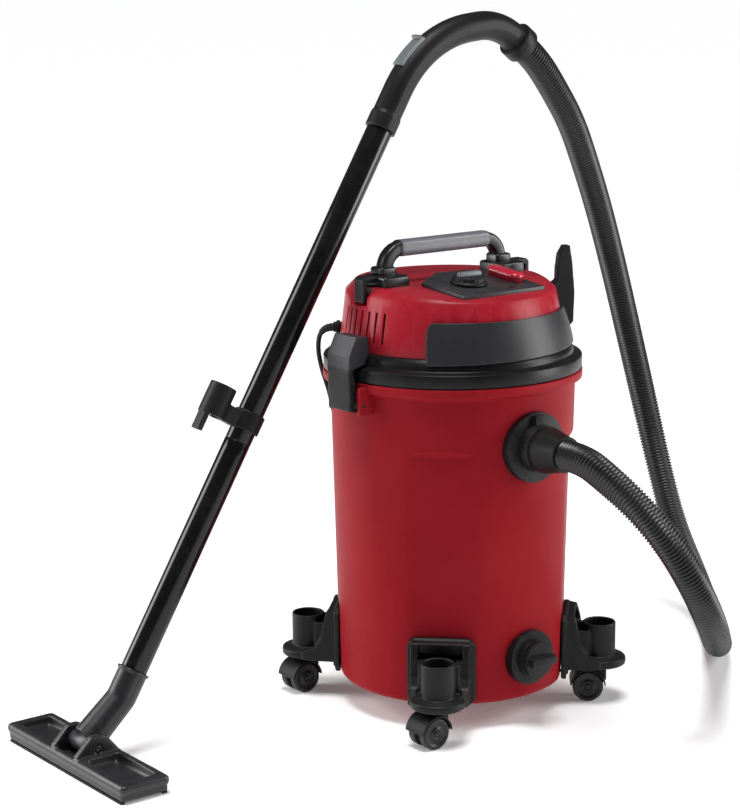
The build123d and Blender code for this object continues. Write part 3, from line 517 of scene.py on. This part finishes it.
def sweep_rings(points, shape_at, steps):
    """Capped rings along a path: shape_at(distance, angle) gives the radius; returns vertices and faces."""
    verts, travelled = [], 0.0
    tangent = (points[1] - points[0]).normalized()
    side = Vector((0, 1, 0)) if abs(tangent.y) < 0.9 else Vector((1, 0, 0))
    for index, point in enumerate(points):
        ahead = points[min(index + 1, len(points) - 1)] - points[max(index - 1, 0)]
        tangent = ahead.normalized()
        side = (side - tangent * side.dot(tangent)).normalized()
        across = tangent.cross(side)
        if index:
            travelled += (point - points[index - 1]).length
        for step in range(steps):
            turn = 2 * math.pi * step / steps
            out = side * math.cos(turn) + across * math.sin(turn)
            verts.append(point + out * shape_at(travelled, turn))
    faces = ring_faces(len(points), steps)
    faces.append(tuple(range(steps)))
    faces.append(tuple(range((len(points) - 1) * steps, len(points) * steps)))
    return verts, faces


def join_meshes(*meshes):
    shape = bmesh.new()
    for mesh in meshes:
        shape.from_mesh(mesh)
    joined = bpy.data.meshes.new("joined")
    shape.to_mesh(joined)
    shape.free()
    return joined


# ---------------------------------------------------------------- cords
def metres(points):
    return [Vector(p) * MM for p in points]


def nurbs_curve(name, points, radius=0.0):
    data = bpy.data.curves.new(name, "CURVE")
    data.dimensions, data.resolution_u, data.bevel_resolution = "3D", 8, 4
    spline = data.splines.new("NURBS")
    spline.points.add(len(points) - 1)
    for place, point in zip(spline.points, points):
        place.co = (*point, 1)
    spline.order_u, spline.use_endpoint_u = 3, True
    data.bevel_depth, data.use_fill_caps = radius, radius > 0
    curve = bpy.data.objects.new(name, data)
    bpy.context.collection.objects.link(curve)
    return curve


def line_of(points):
    """The smooth line that a route's points give, as plain points."""
    holder = nurbs_curve("line", points)
    holder.data.resolution_u = 16
    mesh = bpy.data.meshes.new_from_object(holder.evaluated_get(bpy.context.evaluated_depsgraph_get()))
    line = [vertex.co.copy() for vertex in mesh.vertices]
    bpy.data.objects.remove(holder)
    return line


HOSE_ROUTE = metres([
    (0, -226, 377), (0, -258, 377), (3, -295, 361), (19, -338, 328), (44, -371, 281),
    (74, -385, 225), (117, -370, 171), (176, -321, 133), (238, -266, 98), (300, -210, 65),
    (349, -166, 41), (392, -125, 23), (434, -79, 20), (475, -27, 26), (504, 31, 66), (515, 87, 129),
    (521, 130, 220), (509, 155, 327), (481, 162, 434), (440, 153, 536), (388, 132, 630),
    (339, 111, 703), (296, 93, 762), (250, 82, 813), (212.4, 75, 852.2), (190, 75, 869)])
CORD_ROUTE = metres([
    (-106.96, 108.84, 509), (-114.8, 116.8, 509), (-119.5, 128, 504.5), (-118.8, 139.5, 493),
    (-115.5, 146, 471), (-106, 150, 443), (-88, 157, 408), (-68, 168, 352), (-54, 178, 276), (-46, 186, 190),
    (-42, 192, 112), (-38, 200, 52), (-26, 208, 17), (2, 214, 5), (40, 213, 3.4), (78, 206, 3.4),
    (112, 198, 3.4), (146, 188, 3.4)])

def coil_turns():
    """The put-away length: three flat layers of nearly four turns each, wound in, out and in."""
    centre, pitch, per_turn = Vector((0.205, 0.245, 0)), 6.85, 14
    points, angle, radius, height = [], math.radians(-110), 66.5, 3.4
    for layer, inward in enumerate((True, False, True)):
        for step in range(4 * per_turn - 4):
            wobble = 0.35 * math.sin(step * 1.7 + layer)
            out = Vector((math.cos(angle), math.sin(angle), 0))
            points.append(centre + out * ((radius + wobble) * MM) + Vector((0, 0, height * MM)))
            angle += 2 * math.pi / per_turn
            radius += (-1 if inward else 1) * pitch / per_turn
        radius += (1 if inward else -1) * pitch / per_turn
        height += 0 if layer == 2 else 6.8
    return points


def make_cord():
    points = CORD_ROUTE + coil_turns()
    last = points[-1]
    heading = (last - points[-2]).normalized()
    rise = [last + heading * 0.028 + Vector((0, 0, 0.006)), Vector((0.262, 0.262, 0.030)),
            Vector((0.252, 0.286, 0.034)), Vector((0.238, 0.2902, 0.0342)), Vector((0.226, 0.290, 0.0342))]
    cord = nurbs_curve("mains_lead", points + rise, CORD_RADIUS)
    cord.data.materials.append(MATERIALS["rubber"])
    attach(cord, "tank")
    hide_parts("mains_cord", "mains_coil")
    line = line_of(points + rise)
    length = sum((b - a).length for a, b in zip(line, line[1:]))
    return cord, length, make_relief(line)


def make_relief(line):
    """A tapered, grooved sleeve over the lead's first centimetres."""
    path, travelled = [line[0]], 0.0
    for before, after in zip(line, line[1:]):
        travelled += (after - before).length
        if travelled > RELIEF_LENGTH:
            break
        path.append(after)

    def skin(distance, turn):
        groove = 0.7 if distance > 0.004 and (distance * 1000) % 4.2 < 1.6 else 0.0
        return (6.6 - 2.5 * distance / RELIEF_LENGTH - groove) * MM

    verts, faces = sweep_rings(dense(path, 0.0008), skin, 24)
    return add_piece("lead_relief", mesh_from("lead_relief", verts, faces), "tank", "rubber")


def dense(path, step):
    """The same line with a point every step."""
    points = [path[0]]
    for point in path[1:]:
        gap = point - points[-1]
        parts = max(1, round(gap.length / step))
        points += [points[-1] + gap * ((k + 1) / parts) for k in range(parts)] if gap.length > 1e-6 else []
    return points


def hose_tree():
    """Ribs along a line: rings a quarter rib apart, two on the crest and two in the groove."""
    tree = bpy.data.node_groups.new("ribbed_hose", "GeometryNodeTree")
    face = tree.interface
    face.new_socket("Line", in_out="INPUT", socket_type="NodeSocketGeometry")
    sockets = {label: face.new_socket(label, in_out="INPUT", socket_type="NodeSocketFloat").identifier
               for label in ("Rib pitch", "Crest radius", "Groove radius")}
    face.new_socket("Hose", in_out="OUTPUT", socket_type="NodeSocketGeometry")
    given, out = tree.nodes.new("NodeGroupInput"), tree.nodes.new("NodeGroupOutput")
    curve, rings = tree.nodes.new("GeometryNodeMeshToCurve"), tree.nodes.new("GeometryNodeResampleCurve")
    rings.mode = "LENGTH"
    ring, sweep = tree.nodes.new("GeometryNodeCurvePrimitiveCircle"), tree.nodes.new("GeometryNodeCurveToMesh")
    ring.inputs["Resolution"].default_value = 24
    ring.inputs["Radius"].default_value = 1.0
    sweep.inputs["Fill Caps"].default_value = True
    index = tree.nodes.new("GeometryNodeInputIndex")
    low = maths(tree, "GREATER_THAN", maths(tree, "MODULO", index.outputs[0], 4.0), 1.5)
    drop = maths(tree, "SUBTRACT", given.outputs["Crest radius"], given.outputs["Groove radius"])
    radius = maths(tree, "SUBTRACT", given.outputs["Crest radius"], maths(tree, "MULTIPLY", low, drop))
    tree.links.new(given.outputs["Line"], curve.inputs[0])
    tree.links.new(curve.outputs[0], rings.inputs["Curve"])
    tree.links.new(maths(tree, "MULTIPLY", given.outputs["Rib pitch"], 0.25), rings.inputs["Length"])
    tree.links.new(rings.outputs[0], sweep.inputs["Curve"])
    tree.links.new(ring.outputs[0], sweep.inputs["Profile Curve"])
    tree.links.new(radius, sweep.inputs["Scale"])
    smooth = tree.nodes.new("GeometryNodeSetShadeSmooth")
    realize = tree.nodes.new("GeometryNodeRealizeInstances")
    paint = tree.nodes.new("GeometryNodeSetMaterial")
    paint.inputs["Material"].default_value = HOSE_SKIN
    tree.links.new(sweep.outputs[0], smooth.inputs[0])
    tree.links.new(smooth.outputs[0], realize.inputs[0])
    tree.links.new(realize.outputs[0], paint.inputs[0])
    tree.links.new(paint.outputs[0], out.inputs[0])
    return tree, sockets


def make_hose():
    line = line_of(HOSE_ROUTE)
    mesh = bpy.data.meshes.new("hose_line")
    mesh.from_pydata([tuple(p) for p in line], [(k, k + 1) for k in range(len(line) - 1)], [])
    holder = bpy.data.objects.new("holder", mesh)
    bpy.context.collection.objects.link(holder)
    tree, sockets = hose_tree()
    modifier = holder.modifiers.new("ribs", "NODES")
    modifier.node_group = tree
    sizes = {"Rib pitch": HOSE_PITCH, "Crest radius": HOSE_CREST, "Groove radius": HOSE_GROOVE}
    for label, value in sizes.items():
        modifier[sockets[label]] = value
    ribbed = bpy.data.meshes.new_from_object(holder.evaluated_get(bpy.context.evaluated_depsgraph_get()))
    bpy.data.objects.remove(holder)
    hose = add_piece("suction_hose", ribbed, "tank", "black_plastic", "hose", skin=HOSE_SKIN)


# ---------------------------------------------------------------- drum and ports
def drum_radius(z):
    return FOOT_RADIUS + RIM_GROWTH * (z - FOOT_Z) / (RIM_Z - FOOT_Z)


def soft_min(a, b, blend=2.5):
    share = max(blend - abs(a - b), 0) / blend
    return min(a, b) - share * share * blend * 0.25


def drum_wall(z, angle, inset=0.0):
    """Distance from the axis to the drum's wall at a height and an angle in degrees."""
    full = drum_radius(max(z, FOOT_Z)) - inset
    radius = full
    for facing in CORNERS.values():
        top = FRONT_FLAT_TOP if facing < 0 else REAR_FLAT_TOP
        off = math.radians((angle - facing + 180) % 360 - 180)
        if abs(off) < 1.2:
            lift = max(0.0, min(1.0, (z - top) / 8)) * 12
            radius = soft_min(radius, (full - FLAT_DEPTH + lift) / math.cos(off))
    return radius


def drum_rows():
    rows = [("level", 0.02, 35), ("level", 90, 35), ("level", 140, 35)]
    rows += [("foot", 9 * (1 - math.sin(math.radians(a))), 44 - 9 * math.cos(math.radians(a)))
             for a in (0, 20, 40, 60, 80)]
    wall = list(range(FOOT_Z, 360, 7)) + list(range(360, 392, 2)) + list(range(394, 446, 6))
    rows += [("wall", 0, z) for z in wall]
    rows += [("level", r, z) for r, z in ((163.6, 445.5), (165, 446.3), (171, 447.6), (172.6, 448.4),
                                          (173, 449.6), (173, 458.6), (172.6, 459.6), (171.6, 460), (165, 460),
                                          (161.4, 459.8), (160.6, 459.2))]
    rows += [("inner", 3, z) for z in list(range(452, 394, -8)) + list(range(390, 356, -3))
             + list(range(350, 44, -14))]
    return rows + [("level", 140, 38.2), ("level", 0.02, 38)]


def make_drum():
    steps, rows, verts = 288, drum_rows(), []
    for kind, value, z in rows:
        for step in range(steps):
            angle = 360 * step / steps
            if kind == "level":
                radius = value
            elif kind == "foot":
                radius = drum_wall(FOOT_Z, angle) - value
            else:
                radius = drum_wall(z, angle, value)
            turn = math.radians(angle)
            verts.append(Vector((radius * math.cos(turn), radius * math.sin(turn), z)) * MM)
    shell = mesh_from("drum_shell", verts, ring_faces(len(rows), steps))
    cutters = []
    for z, radius in ((INLET_Z, INLET_HOLE), (DRAIN_Z, DRAIN_HOLE)):
        cutter = lathe([(0.02, 0), (radius, 0), (radius, 50), (0.02, 50)], (0, -0.135, z * MM), (0, -1, 0), 64)
        cutters.append(bpy.data.objects.new("cutter", cutter))
        bpy.context.collection.objects.link(cutters[-1])
    shell = bake(shell, *[("BOOLEAN", {"object": cutter, "operation": "DIFFERENCE"}) for cutter in cutters])
    for cutter in cutters:
        bpy.data.objects.remove(cutter)
    ears = []
    for side in (-1, 1):
        for y in (-34, 26.5):
            ears.append(rounded_box(sorted((side * 158.5, side * 181)), (y, y + 7.5), (420, 456), 1.4))
    add_piece("drum_shell", join_meshes(shell, *ears), "tank", "drum_plastic", "drum")


def rounded_box(xs, ys, zs, radius):
    verts = [Vector((x, y, z)) * MM for x in xs for y in ys for z in zs]
    faces = [(0, 1, 3, 2), (4, 6, 7, 5), (0, 4, 5, 1), (2, 3, 7, 6), (0, 2, 6, 4), (1, 5, 7, 3)]
    return bake(mesh_from("block", verts, faces), ("BEVEL", {"width": radius * MM, "segments": 3}))


def make_lid():
    profile = [(62, 464), (155, 464), (155, 440), (158.5, 440), (158.5, 461.3), (171.6, 461.3), (172.3, 462.2),
               (172.5, 476.2), (171.8, 477.8), (170.2, 478.6), (162, 480.4), (160.9, 481.6), (160.5, 484.6),
               (159.9, 487.6), (154.8, 494.2), (153, 495.3), (146, 495.3), (146, 468), (62, 468)]
    mesh = lathe(profile, (0, 0, 0), (0, 0, 1), 192, bevel=0.4)
    add_piece("lid", mesh, "tank", "black_gloss", "lid_base", skin=LID_SKIN)


def make_wheels():
    profile = [(4.2, 0), (8, 0), (8.6, 1.1), (14.8, 1.1), (15.6, 0.2), (19.2, 0.2), (20.7, 1.3), (21, 2.6),
               (21, 5.6), (20.5, 6), (21, 6.4), (21, 9.4), (20.7, 10.7), (19.2, 11.8), (15.6, 11.8),
               (14.8, 10.9), (8.6, 10.9), (8, 12), (4.2, 12)]
    trails = {"front_left": 180, "front_right": 140, "rear_left": 180, "rear_right": 200}
    for corner, angle in CORNERS.items():
        heading, facing = math.radians(trails[corner] - 180), math.radians(angle)
        along = Vector((math.cos(heading), math.sin(heading), 0))
        across = Vector((-math.sin(heading), math.cos(heading), 0))
        axle = Vector((0.2 * math.cos(facing), 0.2 * math.sin(facing), 0.021)) - along * 0.015
        parts = [lathe(profile, axle + across * (low * MM), across, 64) for low in (-16.8, 4.8)]
        parts.append(lathe([(0.02, -17.4), (3.6, -17.4), (4, -16.8), (4, 16.8), (3.6, 17.4), (0.02, 17.4)],
                           axle, across, 32))
        add_piece("wheels_" + corner, join_meshes(*parts), BODY_OF["castor_wheels_" + corner], "tread",
                  "castor_wheels_" + corner)


def prism_across(outline, low, high):
    """An (x, z) outline in millimetres, drawn out from y = low to y = high."""
    count = len(outline)
    verts = [Vector((x, y, z)) * MM for y in (low, high) for x, z in outline]
    faces = [tuple(range(count)), tuple(range(count, 2 * count))]
    faces += [(k, (k + 1) % count, (k + 1) % count + count, k + count) for k in range(count)]
    return mesh_from("prism", verts, faces)


def make_bracket(corner, angle):
    """The shield-shaped bracket: a deep rim round the socket's recess and gussets down to the platform."""
    cheek = [(152, 50), (203, 51), (203, 62), (186, 70), (177, 84), (173, 108), (169, 122), (152, 125)]
    parts = [prism_across(cheek, side * 34 - 5, side * 34 + 5) for side in (-1, 1)]
    parts.append(prism_across([(152, 108), (165, 108), (168, 124), (152, 126)], -39, 39))
    parts.append(prism_across([(152, 51), (200, 51), (200, 63), (152, 66)], -38, 38))
    parts.append(lathe([(7, 51), (35, 51), (36.5, 53), (36.5, 59.5), (35, 62), (21, 63.2), (7, 60)],
                       (0.2, 0, 0), (0, 0, 1), 64))
    turn = Matrix.Rotation(math.radians(angle), 4, "Z")
    for part in parts:
        part.transform(turn)
    blank = join_meshes(merged_copy("bracket_" + corner), *parts)
    mesh = bake(blank, ("REMESH", {"mode": "VOXEL", "voxel_size": 1.3 * MM}),
                ("SMOOTH", {"factor": 0.5, "iterations": 7}))
    shade_smooth(mesh)
    add_piece("bracket_skin_" + corner, mesh, "tank", "black_plastic", "bracket_" + corner)


# ---------------------------------------------------------------- head
def on_panel(x, y, lift=0.0):
    """The point above (x, y) that is lift above the panel's top face, in millimetres."""
    base = Vector((x, y, 574 + (y + 42) * math.tan(PANEL_SLOPE)))
    return (base + PANEL_UP * (5 + lift)) * MM


def make_knob():
    """A fluted skirt with a raised pointer bar across it."""
    centre = on_panel(-18, -54)
    across = Vector((1, 0, 0))
    up_slope = PANEL_UP.cross(across)
    rings = [(0.02, 0.5), (23.6, 0.5), (24.4, 1.2), (24.4, 3.4), (23.4, 4.5), (21.6, 5), (21.2, 6),
             (20.6, 10.2), (19.4, 11.3), (17.6, 11.6), (0.02, 11.6)]
    steps, verts = 144, []
    for number, (radius, height) in enumerate(rings):
        for step in range(steps):
            turn = 2 * math.pi * step / steps
            flute = 0.7 * max(0.0, math.cos(turn * 18)) if 5 <= number <= 8 else 0.0
            out = across * math.cos(turn) + up_slope * math.sin(turn)
            verts.append(centre + out * ((radius - flute) * MM) + PANEL_UP * (height * MM))
    skirt = mesh_from("knob_skirt", verts, ring_faces(len(rings), steps))
    bar = []
    for x, y, z in ((-19, -4.5, 9.5), (-19, 4.5, 9.5), (19, 4.5, 9.5), (19, -4.5, 9.5),
                    (-18, -3.2, 16.5), (-18, 3.2, 16.5), (18, 3.2, 16.5), (18, -3.2, 16.5)):
        bar.append(centre + across * (x * MM) + up_slope * (y * MM) + PANEL_UP * (z * MM))
    sides = [(k, k + 4, (k + 1) % 4 + 4, (k + 1) % 4) for k in range(4)]
    grip = mesh_from("knob_bar", bar, [(0, 1, 2, 3), (7, 6, 5, 4)] + sides)
    grip = bake(grip, ("BEVEL", {"width": 1.4 * MM, "segments": 4}))
    knob = add_piece("speed_knob", join_meshes(skirt, grip), "power_knob", "grey_plastic", "power_knob",
                     skin=MATERIALS["black_plastic"])
    knob.data.materials.append(MATERIALS["grey_plastic"])
    for face in knob.data.polygons:
        face.material_index = int(face.index >= len(skirt.polygons))


def make_button():
    """The switch cap: a glossy pill with a crowned top."""
    centre, across = on_panel(50, -48), Vector((1, 0, 0))
    up_slope = PANEL_UP.cross(across)
    verts, steps = [], 72
    rows = [(9.6, -8.0), (9.6, 4.6), (10.6, 5.6), (10.8, 8.0), (9.8, 10.4), (7, 11.8), (3.5, 12.4),
            (0.01, 12.5)]
    for radius, height in rows:
        for step in range(steps):
            turn = 2 * math.pi * step / steps
            shift = 20.0 if math.sin(turn) >= 0 else -20.0
            x, y = radius * math.cos(turn), radius * math.sin(turn) + shift
            verts.append(centre + across * (x * MM) + up_slope * (y * MM) + PANEL_UP * (height * MM))
    faces = ring_faces(len(rows), steps)
    faces.append(tuple(reversed(range(steps))))
    faces.append(tuple(range((len(rows) - 1) * steps, len(rows) * steps)))
    add_piece("switch_cap", mesh_from("switch_cap", verts, faces), "switch_button", "red_button",
              "switch_button")


def make_handle():
    """A padded bar on two bowed posts, with a base block under each."""
    corners = [Vector((-0.099, 0.022, 0.582)), Vector((-0.094, 0.022, 0.6215)), Vector((0.094, 0.022, 0.6215)),
               Vector((0.099, 0.022, 0.582))]
    path = rounded_path(corners, [0.027, 0.027], 0.003)
    verts, steps = [], 40
    for index, point in enumerate(path):
        ahead = (path[min(index + 1, len(path) - 1)] - path[max(index - 1, 0)]).normalized()
        outward = ahead.cross(Vector((0, 1, 0)))
        outward = -outward if outward.z < 0 and abs(ahead.x) > 0.5 else outward
        padded = abs(point.x) < 0.074
        half_y, half_z = (10.5, 10.8) if padded else (9.6, 9.4)
        for step in range(steps):
            turn = 2 * math.pi * step / steps
            c, t = math.cos(turn), math.sin(turn)
            y = half_y * math.copysign(abs(c) ** 0.55, c)
            z = half_z * math.copysign(abs(t) ** 0.55, t)
            if padded and abs(z - 3.2) < 0.7:
                y *= 0.95
            verts.append(point + Vector((0, y * MM, 0)) + outward * (z * MM))
    faces = ring_faces(len(path), steps)
    faces += [tuple(range(steps)), tuple(range((len(path) - 1) * steps, len(path) * steps))]
    parts = [mesh_from("handle_bow", verts, faces)]
    for side in (-1, 1):
        parts.append(rounded_box(sorted((side * 78, side * 120)), (-9, 39), (568, 590), 4))
        parts.append(rounded_box(sorted((side * 86, side * 112)), (9, 35), (585, 600), 4))
    add_piece("carry_handle_bow", join_meshes(*parts), "tank", "dark_grey", "carry_handle", skin=HANDLE_PAINTED_SHEEN_SKIN)


def make_band():
    """The graphite band round the front of the cover, with rounded upper corners, down over the lid's step."""
    first, last, across, rows = -142.0, -42.0, 120, 20
    verts, faces = [], []
    for row in range(rows + 1):
        share = row / rows
        for step in range(across + 1):
            angle = first + (last - first) * step / across
            edge = min(step, across - step) / across * (last - first)
            low = 488.6 + 7.0 * step / across
            high = 541.5 - 12 * max(0.0, 1 - edge / 3.2) ** 2
            z = low + (high - low) * share
            radius = 161.2 - (z - 489) * 0.232 + 1.2 * math.sin(math.pi * share)
            centre = -1 + 4 * (z - 499) / 42
            turn = math.radians(angle)
            verts.append(Vector((radius * math.cos(turn), radius * math.sin(turn) + centre, z)) * MM)
    for row in range(rows):
        for step in range(across):
            a = row * (across + 1) + step
            faces.append((a, a + 1, a + across + 2, a + across + 1))
    mesh = bake(mesh_from("band", verts, faces), ("SOLIDIFY", {"thickness": 7.5 * MM, "offset": -1.0}),
                ("BEVEL", {"width": 1.2 * MM, "segments": 3, "limit_method": "ANGLE"}))
    shade_smooth(mesh)
    add_piece("front_band_skin", mesh, "tank", "dark_grey", "front_band")


# ---------------------------------------------------------------- wand and grip
def rounded_path(points, radii, step=0.004):
    """A rigid bend line: straight runs joined by tangent arcs."""
    path = [points[0]]
    for corner, radius, before, after in zip(points[1:-1], radii, points, points[2:]):
        came, goes = (corner - before).normalized(), (after - corner).normalized()
        half = came.angle(goes) / 2
        reach = radius * math.tan(half)
        start, inward = corner - came * reach, (goes - came).normalized()
        centre = corner + inward * (radius / math.cos(half))
        first, last = start - centre, corner + goes * reach - centre
        count = max(2, int(radius * 2 * half / step))
        for k in range(count + 1):
            share = k / count
            swing = (first * math.sin((1 - share) * 2 * half) + last * math.sin(share * 2 * half))
            path.append(centre + swing / math.sin(2 * half))
    return dense(path + [points[-1]], step)


def make_tubes():
    foot, head = WAND_FOOT, WAND_HEAD
    joint = foot + WAND_DIR * 0.318
    span = (head - foot).length * 1000
    lower = [(16, -6), (17.3, -6), (17.5, -5.4), (17.5, 300), (17.5, 317.2), (17.1, 318), (16, 318)]
    upper = [(16, 318), (17.2, 318), (17.5, 318.7), (17.5, span - 6), (17.2, span - 5), (16, span - 5)]
    add_piece("wand_lower", lathe(lower, foot, WAND_DIR, 96), "tank", "black_gloss", "lower_tube")
    add_piece("wand_upper", lathe(upper, foot, WAND_DIR, 96), "tank", "black_gloss", "upper_tube")


def make_grip():
    corners = [WAND_HEAD - WAND_DIR * 0.03, Vector((0.0108, 0.075, 0.8914)), Vector((0.142, 0.075, 0.905)),
               GRIP_END]
    path = rounded_path(corners, [0.165, 0.092], 0.0012)
    total = sum((b - a).length for a, b in zip(path, path[1:]))

    def skin(distance, turn):
        radius = 19.5
        if distance < 0.022:
            radius = 20.9 if distance < 0.020 else 20.2
        elif total - 0.030 < distance < total - 0.003:
            radius = 20.3 if (distance - total) * 1000 % 5 > 2.2 else 19.1
        seam = min(abs(math.sin(turn)), 1.0)
        return (radius - 0.6 * math.exp(-(seam / 0.05) ** 2)) * MM

    verts, faces = sweep_rings(path, skin, 64)
    add_piece("grip_tube", mesh_from("grip_tube", verts, faces), BODY_OF["grip"], "black_plastic", "grip")


# ---------------------------------------------------------------- floor nozzle
NOZZLE = Vector((-0.537, 0.075, 0.032))


def cut(mesh, *cutters):
    """Takes each cutter mesh out of a mesh."""
    holders = []
    for cutter in cutters:
        holders.append(bpy.data.objects.new("cutter", cutter))
        bpy.context.collection.objects.link(holders[-1])
    done = bake(mesh, *[("BOOLEAN", {"object": holder, "operation": "DIFFERENCE"}) for holder in holders])
    for holder in holders:
        bpy.data.objects.remove(holder)
    return done


def tray(low, high, x_low, x_high, taper=5.0):
    """A recess with sloping ends: wider at the top than on its floor."""
    verts = []
    for z, grow in ((low, 0.0), (high, taper)):
        for x, y in ((-1, 0), (1, 0), (1, 1), (-1, 1)):
            reach = (x_low, x_high)[y]
            verts.append(Vector((x * (20 + grow), reach + (2 * y - 1) * grow, z)) * MM)
    sides = [(k, (k + 1) % 4, (k + 1) % 4 + 4, k + 4) for k in range(4)]
    mesh = mesh_from("tray", verts, [(0, 3, 2, 1), (4, 5, 6, 7)] + sides)
    return bake(mesh, ("BEVEL", {"width": 4 * MM, "segments": 3}))


def make_nozzle_body():
    """Two stepped tiers with a deep tray each side of the neck, and a cheek at each side of the pivot."""
    upper = rounded_box((-35, 35), (-145, 145), (11, 25), 6.2)
    lower = rounded_box((-33, 33), (-141, 141), (3, 14), 2.5)
    cheek = [(-31, 12), (31, 12), (31, 25), (14, 46), (5, 50), (-9, 50), (-31, 28)]
    cheeks = [prism_across(cheek, side * 28 - 5, side * 28 + 5) for side in (-1, 1)]
    solid = bake(join_meshes(upper, lower, *cheeks), ("REMESH", {"mode": "VOXEL", "voxel_size": 1.2 * MM}))
    throat = rounded_box((-26, 50), (-22.6, 22.6), (17, 60), 1)
    mouth = rounded_box((-25, 25), (-134, 134), (-4, 11), 2)
    pivot = lathe([(0.02, -60), (5.4, -60), (5.4, 60), (0.02, 60)], (0, 0, 0.032), (0, 1, 0), 32)
    solid = cut(solid, tray(13.5, 27, 42, 127, 4), tray(13.5, 27, -127, -42, 4), throat, mouth, pivot)
    mesh = bake(solid, ("REMESH", {"mode": "VOXEL", "voxel_size": 1.2 * MM}),
                ("SMOOTH", {"factor": 0.5, "iterations": 5}))
    mesh.transform(Matrix.Translation((NOZZLE.x, NOZZLE.y, 0)))
    shade_smooth(mesh)
    add_piece("nozzle_head", mesh, BODY_OF["nozzle_body"], SLOT_OF["nozzle_body"], "nozzle_body",
              skin=NOZZLE_SKIN)


def make_nozzle_neck():
    """The bent neck: a lip where the tube goes in, a knee, and a barrel on the pivot."""
    knee = WAND_FOOT - WAND_DIR * 0.040
    ends = WAND_FOOT - WAND_DIR * 0.001, NOZZLE + Vector((0.004, 0, 0.004))
    path = rounded_path([ends[0], knee, ends[1]], [0.030], 0.0015)
    total = sum((b - a).length for a, b in zip(path, path[1:]))

    def skin(distance, turn):
        radius = 21.4 if distance < 0.0035 else 19.4
        swell = max(0.0, (distance - 0.045) / (total - 0.045)) * 1.6
        seam = abs(math.sin(turn))
        return (radius + swell - 0.5 * math.exp(-(seam / 0.05) ** 2)) * MM

    neck = mesh_from("neck", *sweep_rings(path, skin, 56))
    barrel = lathe([(0.02, -22), (12.6, -22), (13.4, -21), (13.4, 21), (12.6, 22), (0.02, 22)], NOZZLE,
                   (0, 1, 0), 64)
    pins = lathe([(0.02, -32), (4.6, -32), (5, -31.5), (5, 31.5), (4.6, 32), (0.02, 32)], NOZZLE,
                 (0, 1, 0), 32)
    floor = rounded_box((-600, -480), (50, 100), (0, 20.8), 0.2)
    neck = cut(neck, floor)
    add_piece("nozzle_neck_skin", join_meshes(neck, barrel, pins), BODY_OF["nozzle_neck"],
              SLOT_OF["nozzle_neck"], "nozzle_neck", skin=NOZZLE_SKIN)


# ---------------------------------------------------------------- the making
set_camera()
lead, lead_length, relief = make_cord()
make_hose()
set_studio()
make_drum()
make_lid()
make_wheels()
make_knob()
make_button()
make_handle()
make_band()
make_tubes()
make_grip()
make_nozzle_body()
make_nozzle_neck()
plug = moulded("lead_plug", "mains_plug", 0.8)
for node_name in ("motor_cover", "control_panel", "inlet_port", "drain_port", "drain_cap",
                  "blower_port", "hose_cuff", "hose_collar", "bleed_slider"):
    crisp(node_name + "_skin", node_name)
for node_name in ("cord_hooks", "cord_wrap", "tube_clip"):
    moulded(node_name + "_skin", node_name, 1.1)
for side in ("left", "right"):
    moulded("latch_skin_" + side, "latch_" + side, 1.0, 6, LATCH_PAINTED_TOP_LIGHT_SKIN)
for corner_name, corner_angle in CORNERS.items():
    make_bracket(corner_name, corner_angle)
    moulded("hood_skin_" + corner_name, "castor_hood_" + corner_name, 1.0)
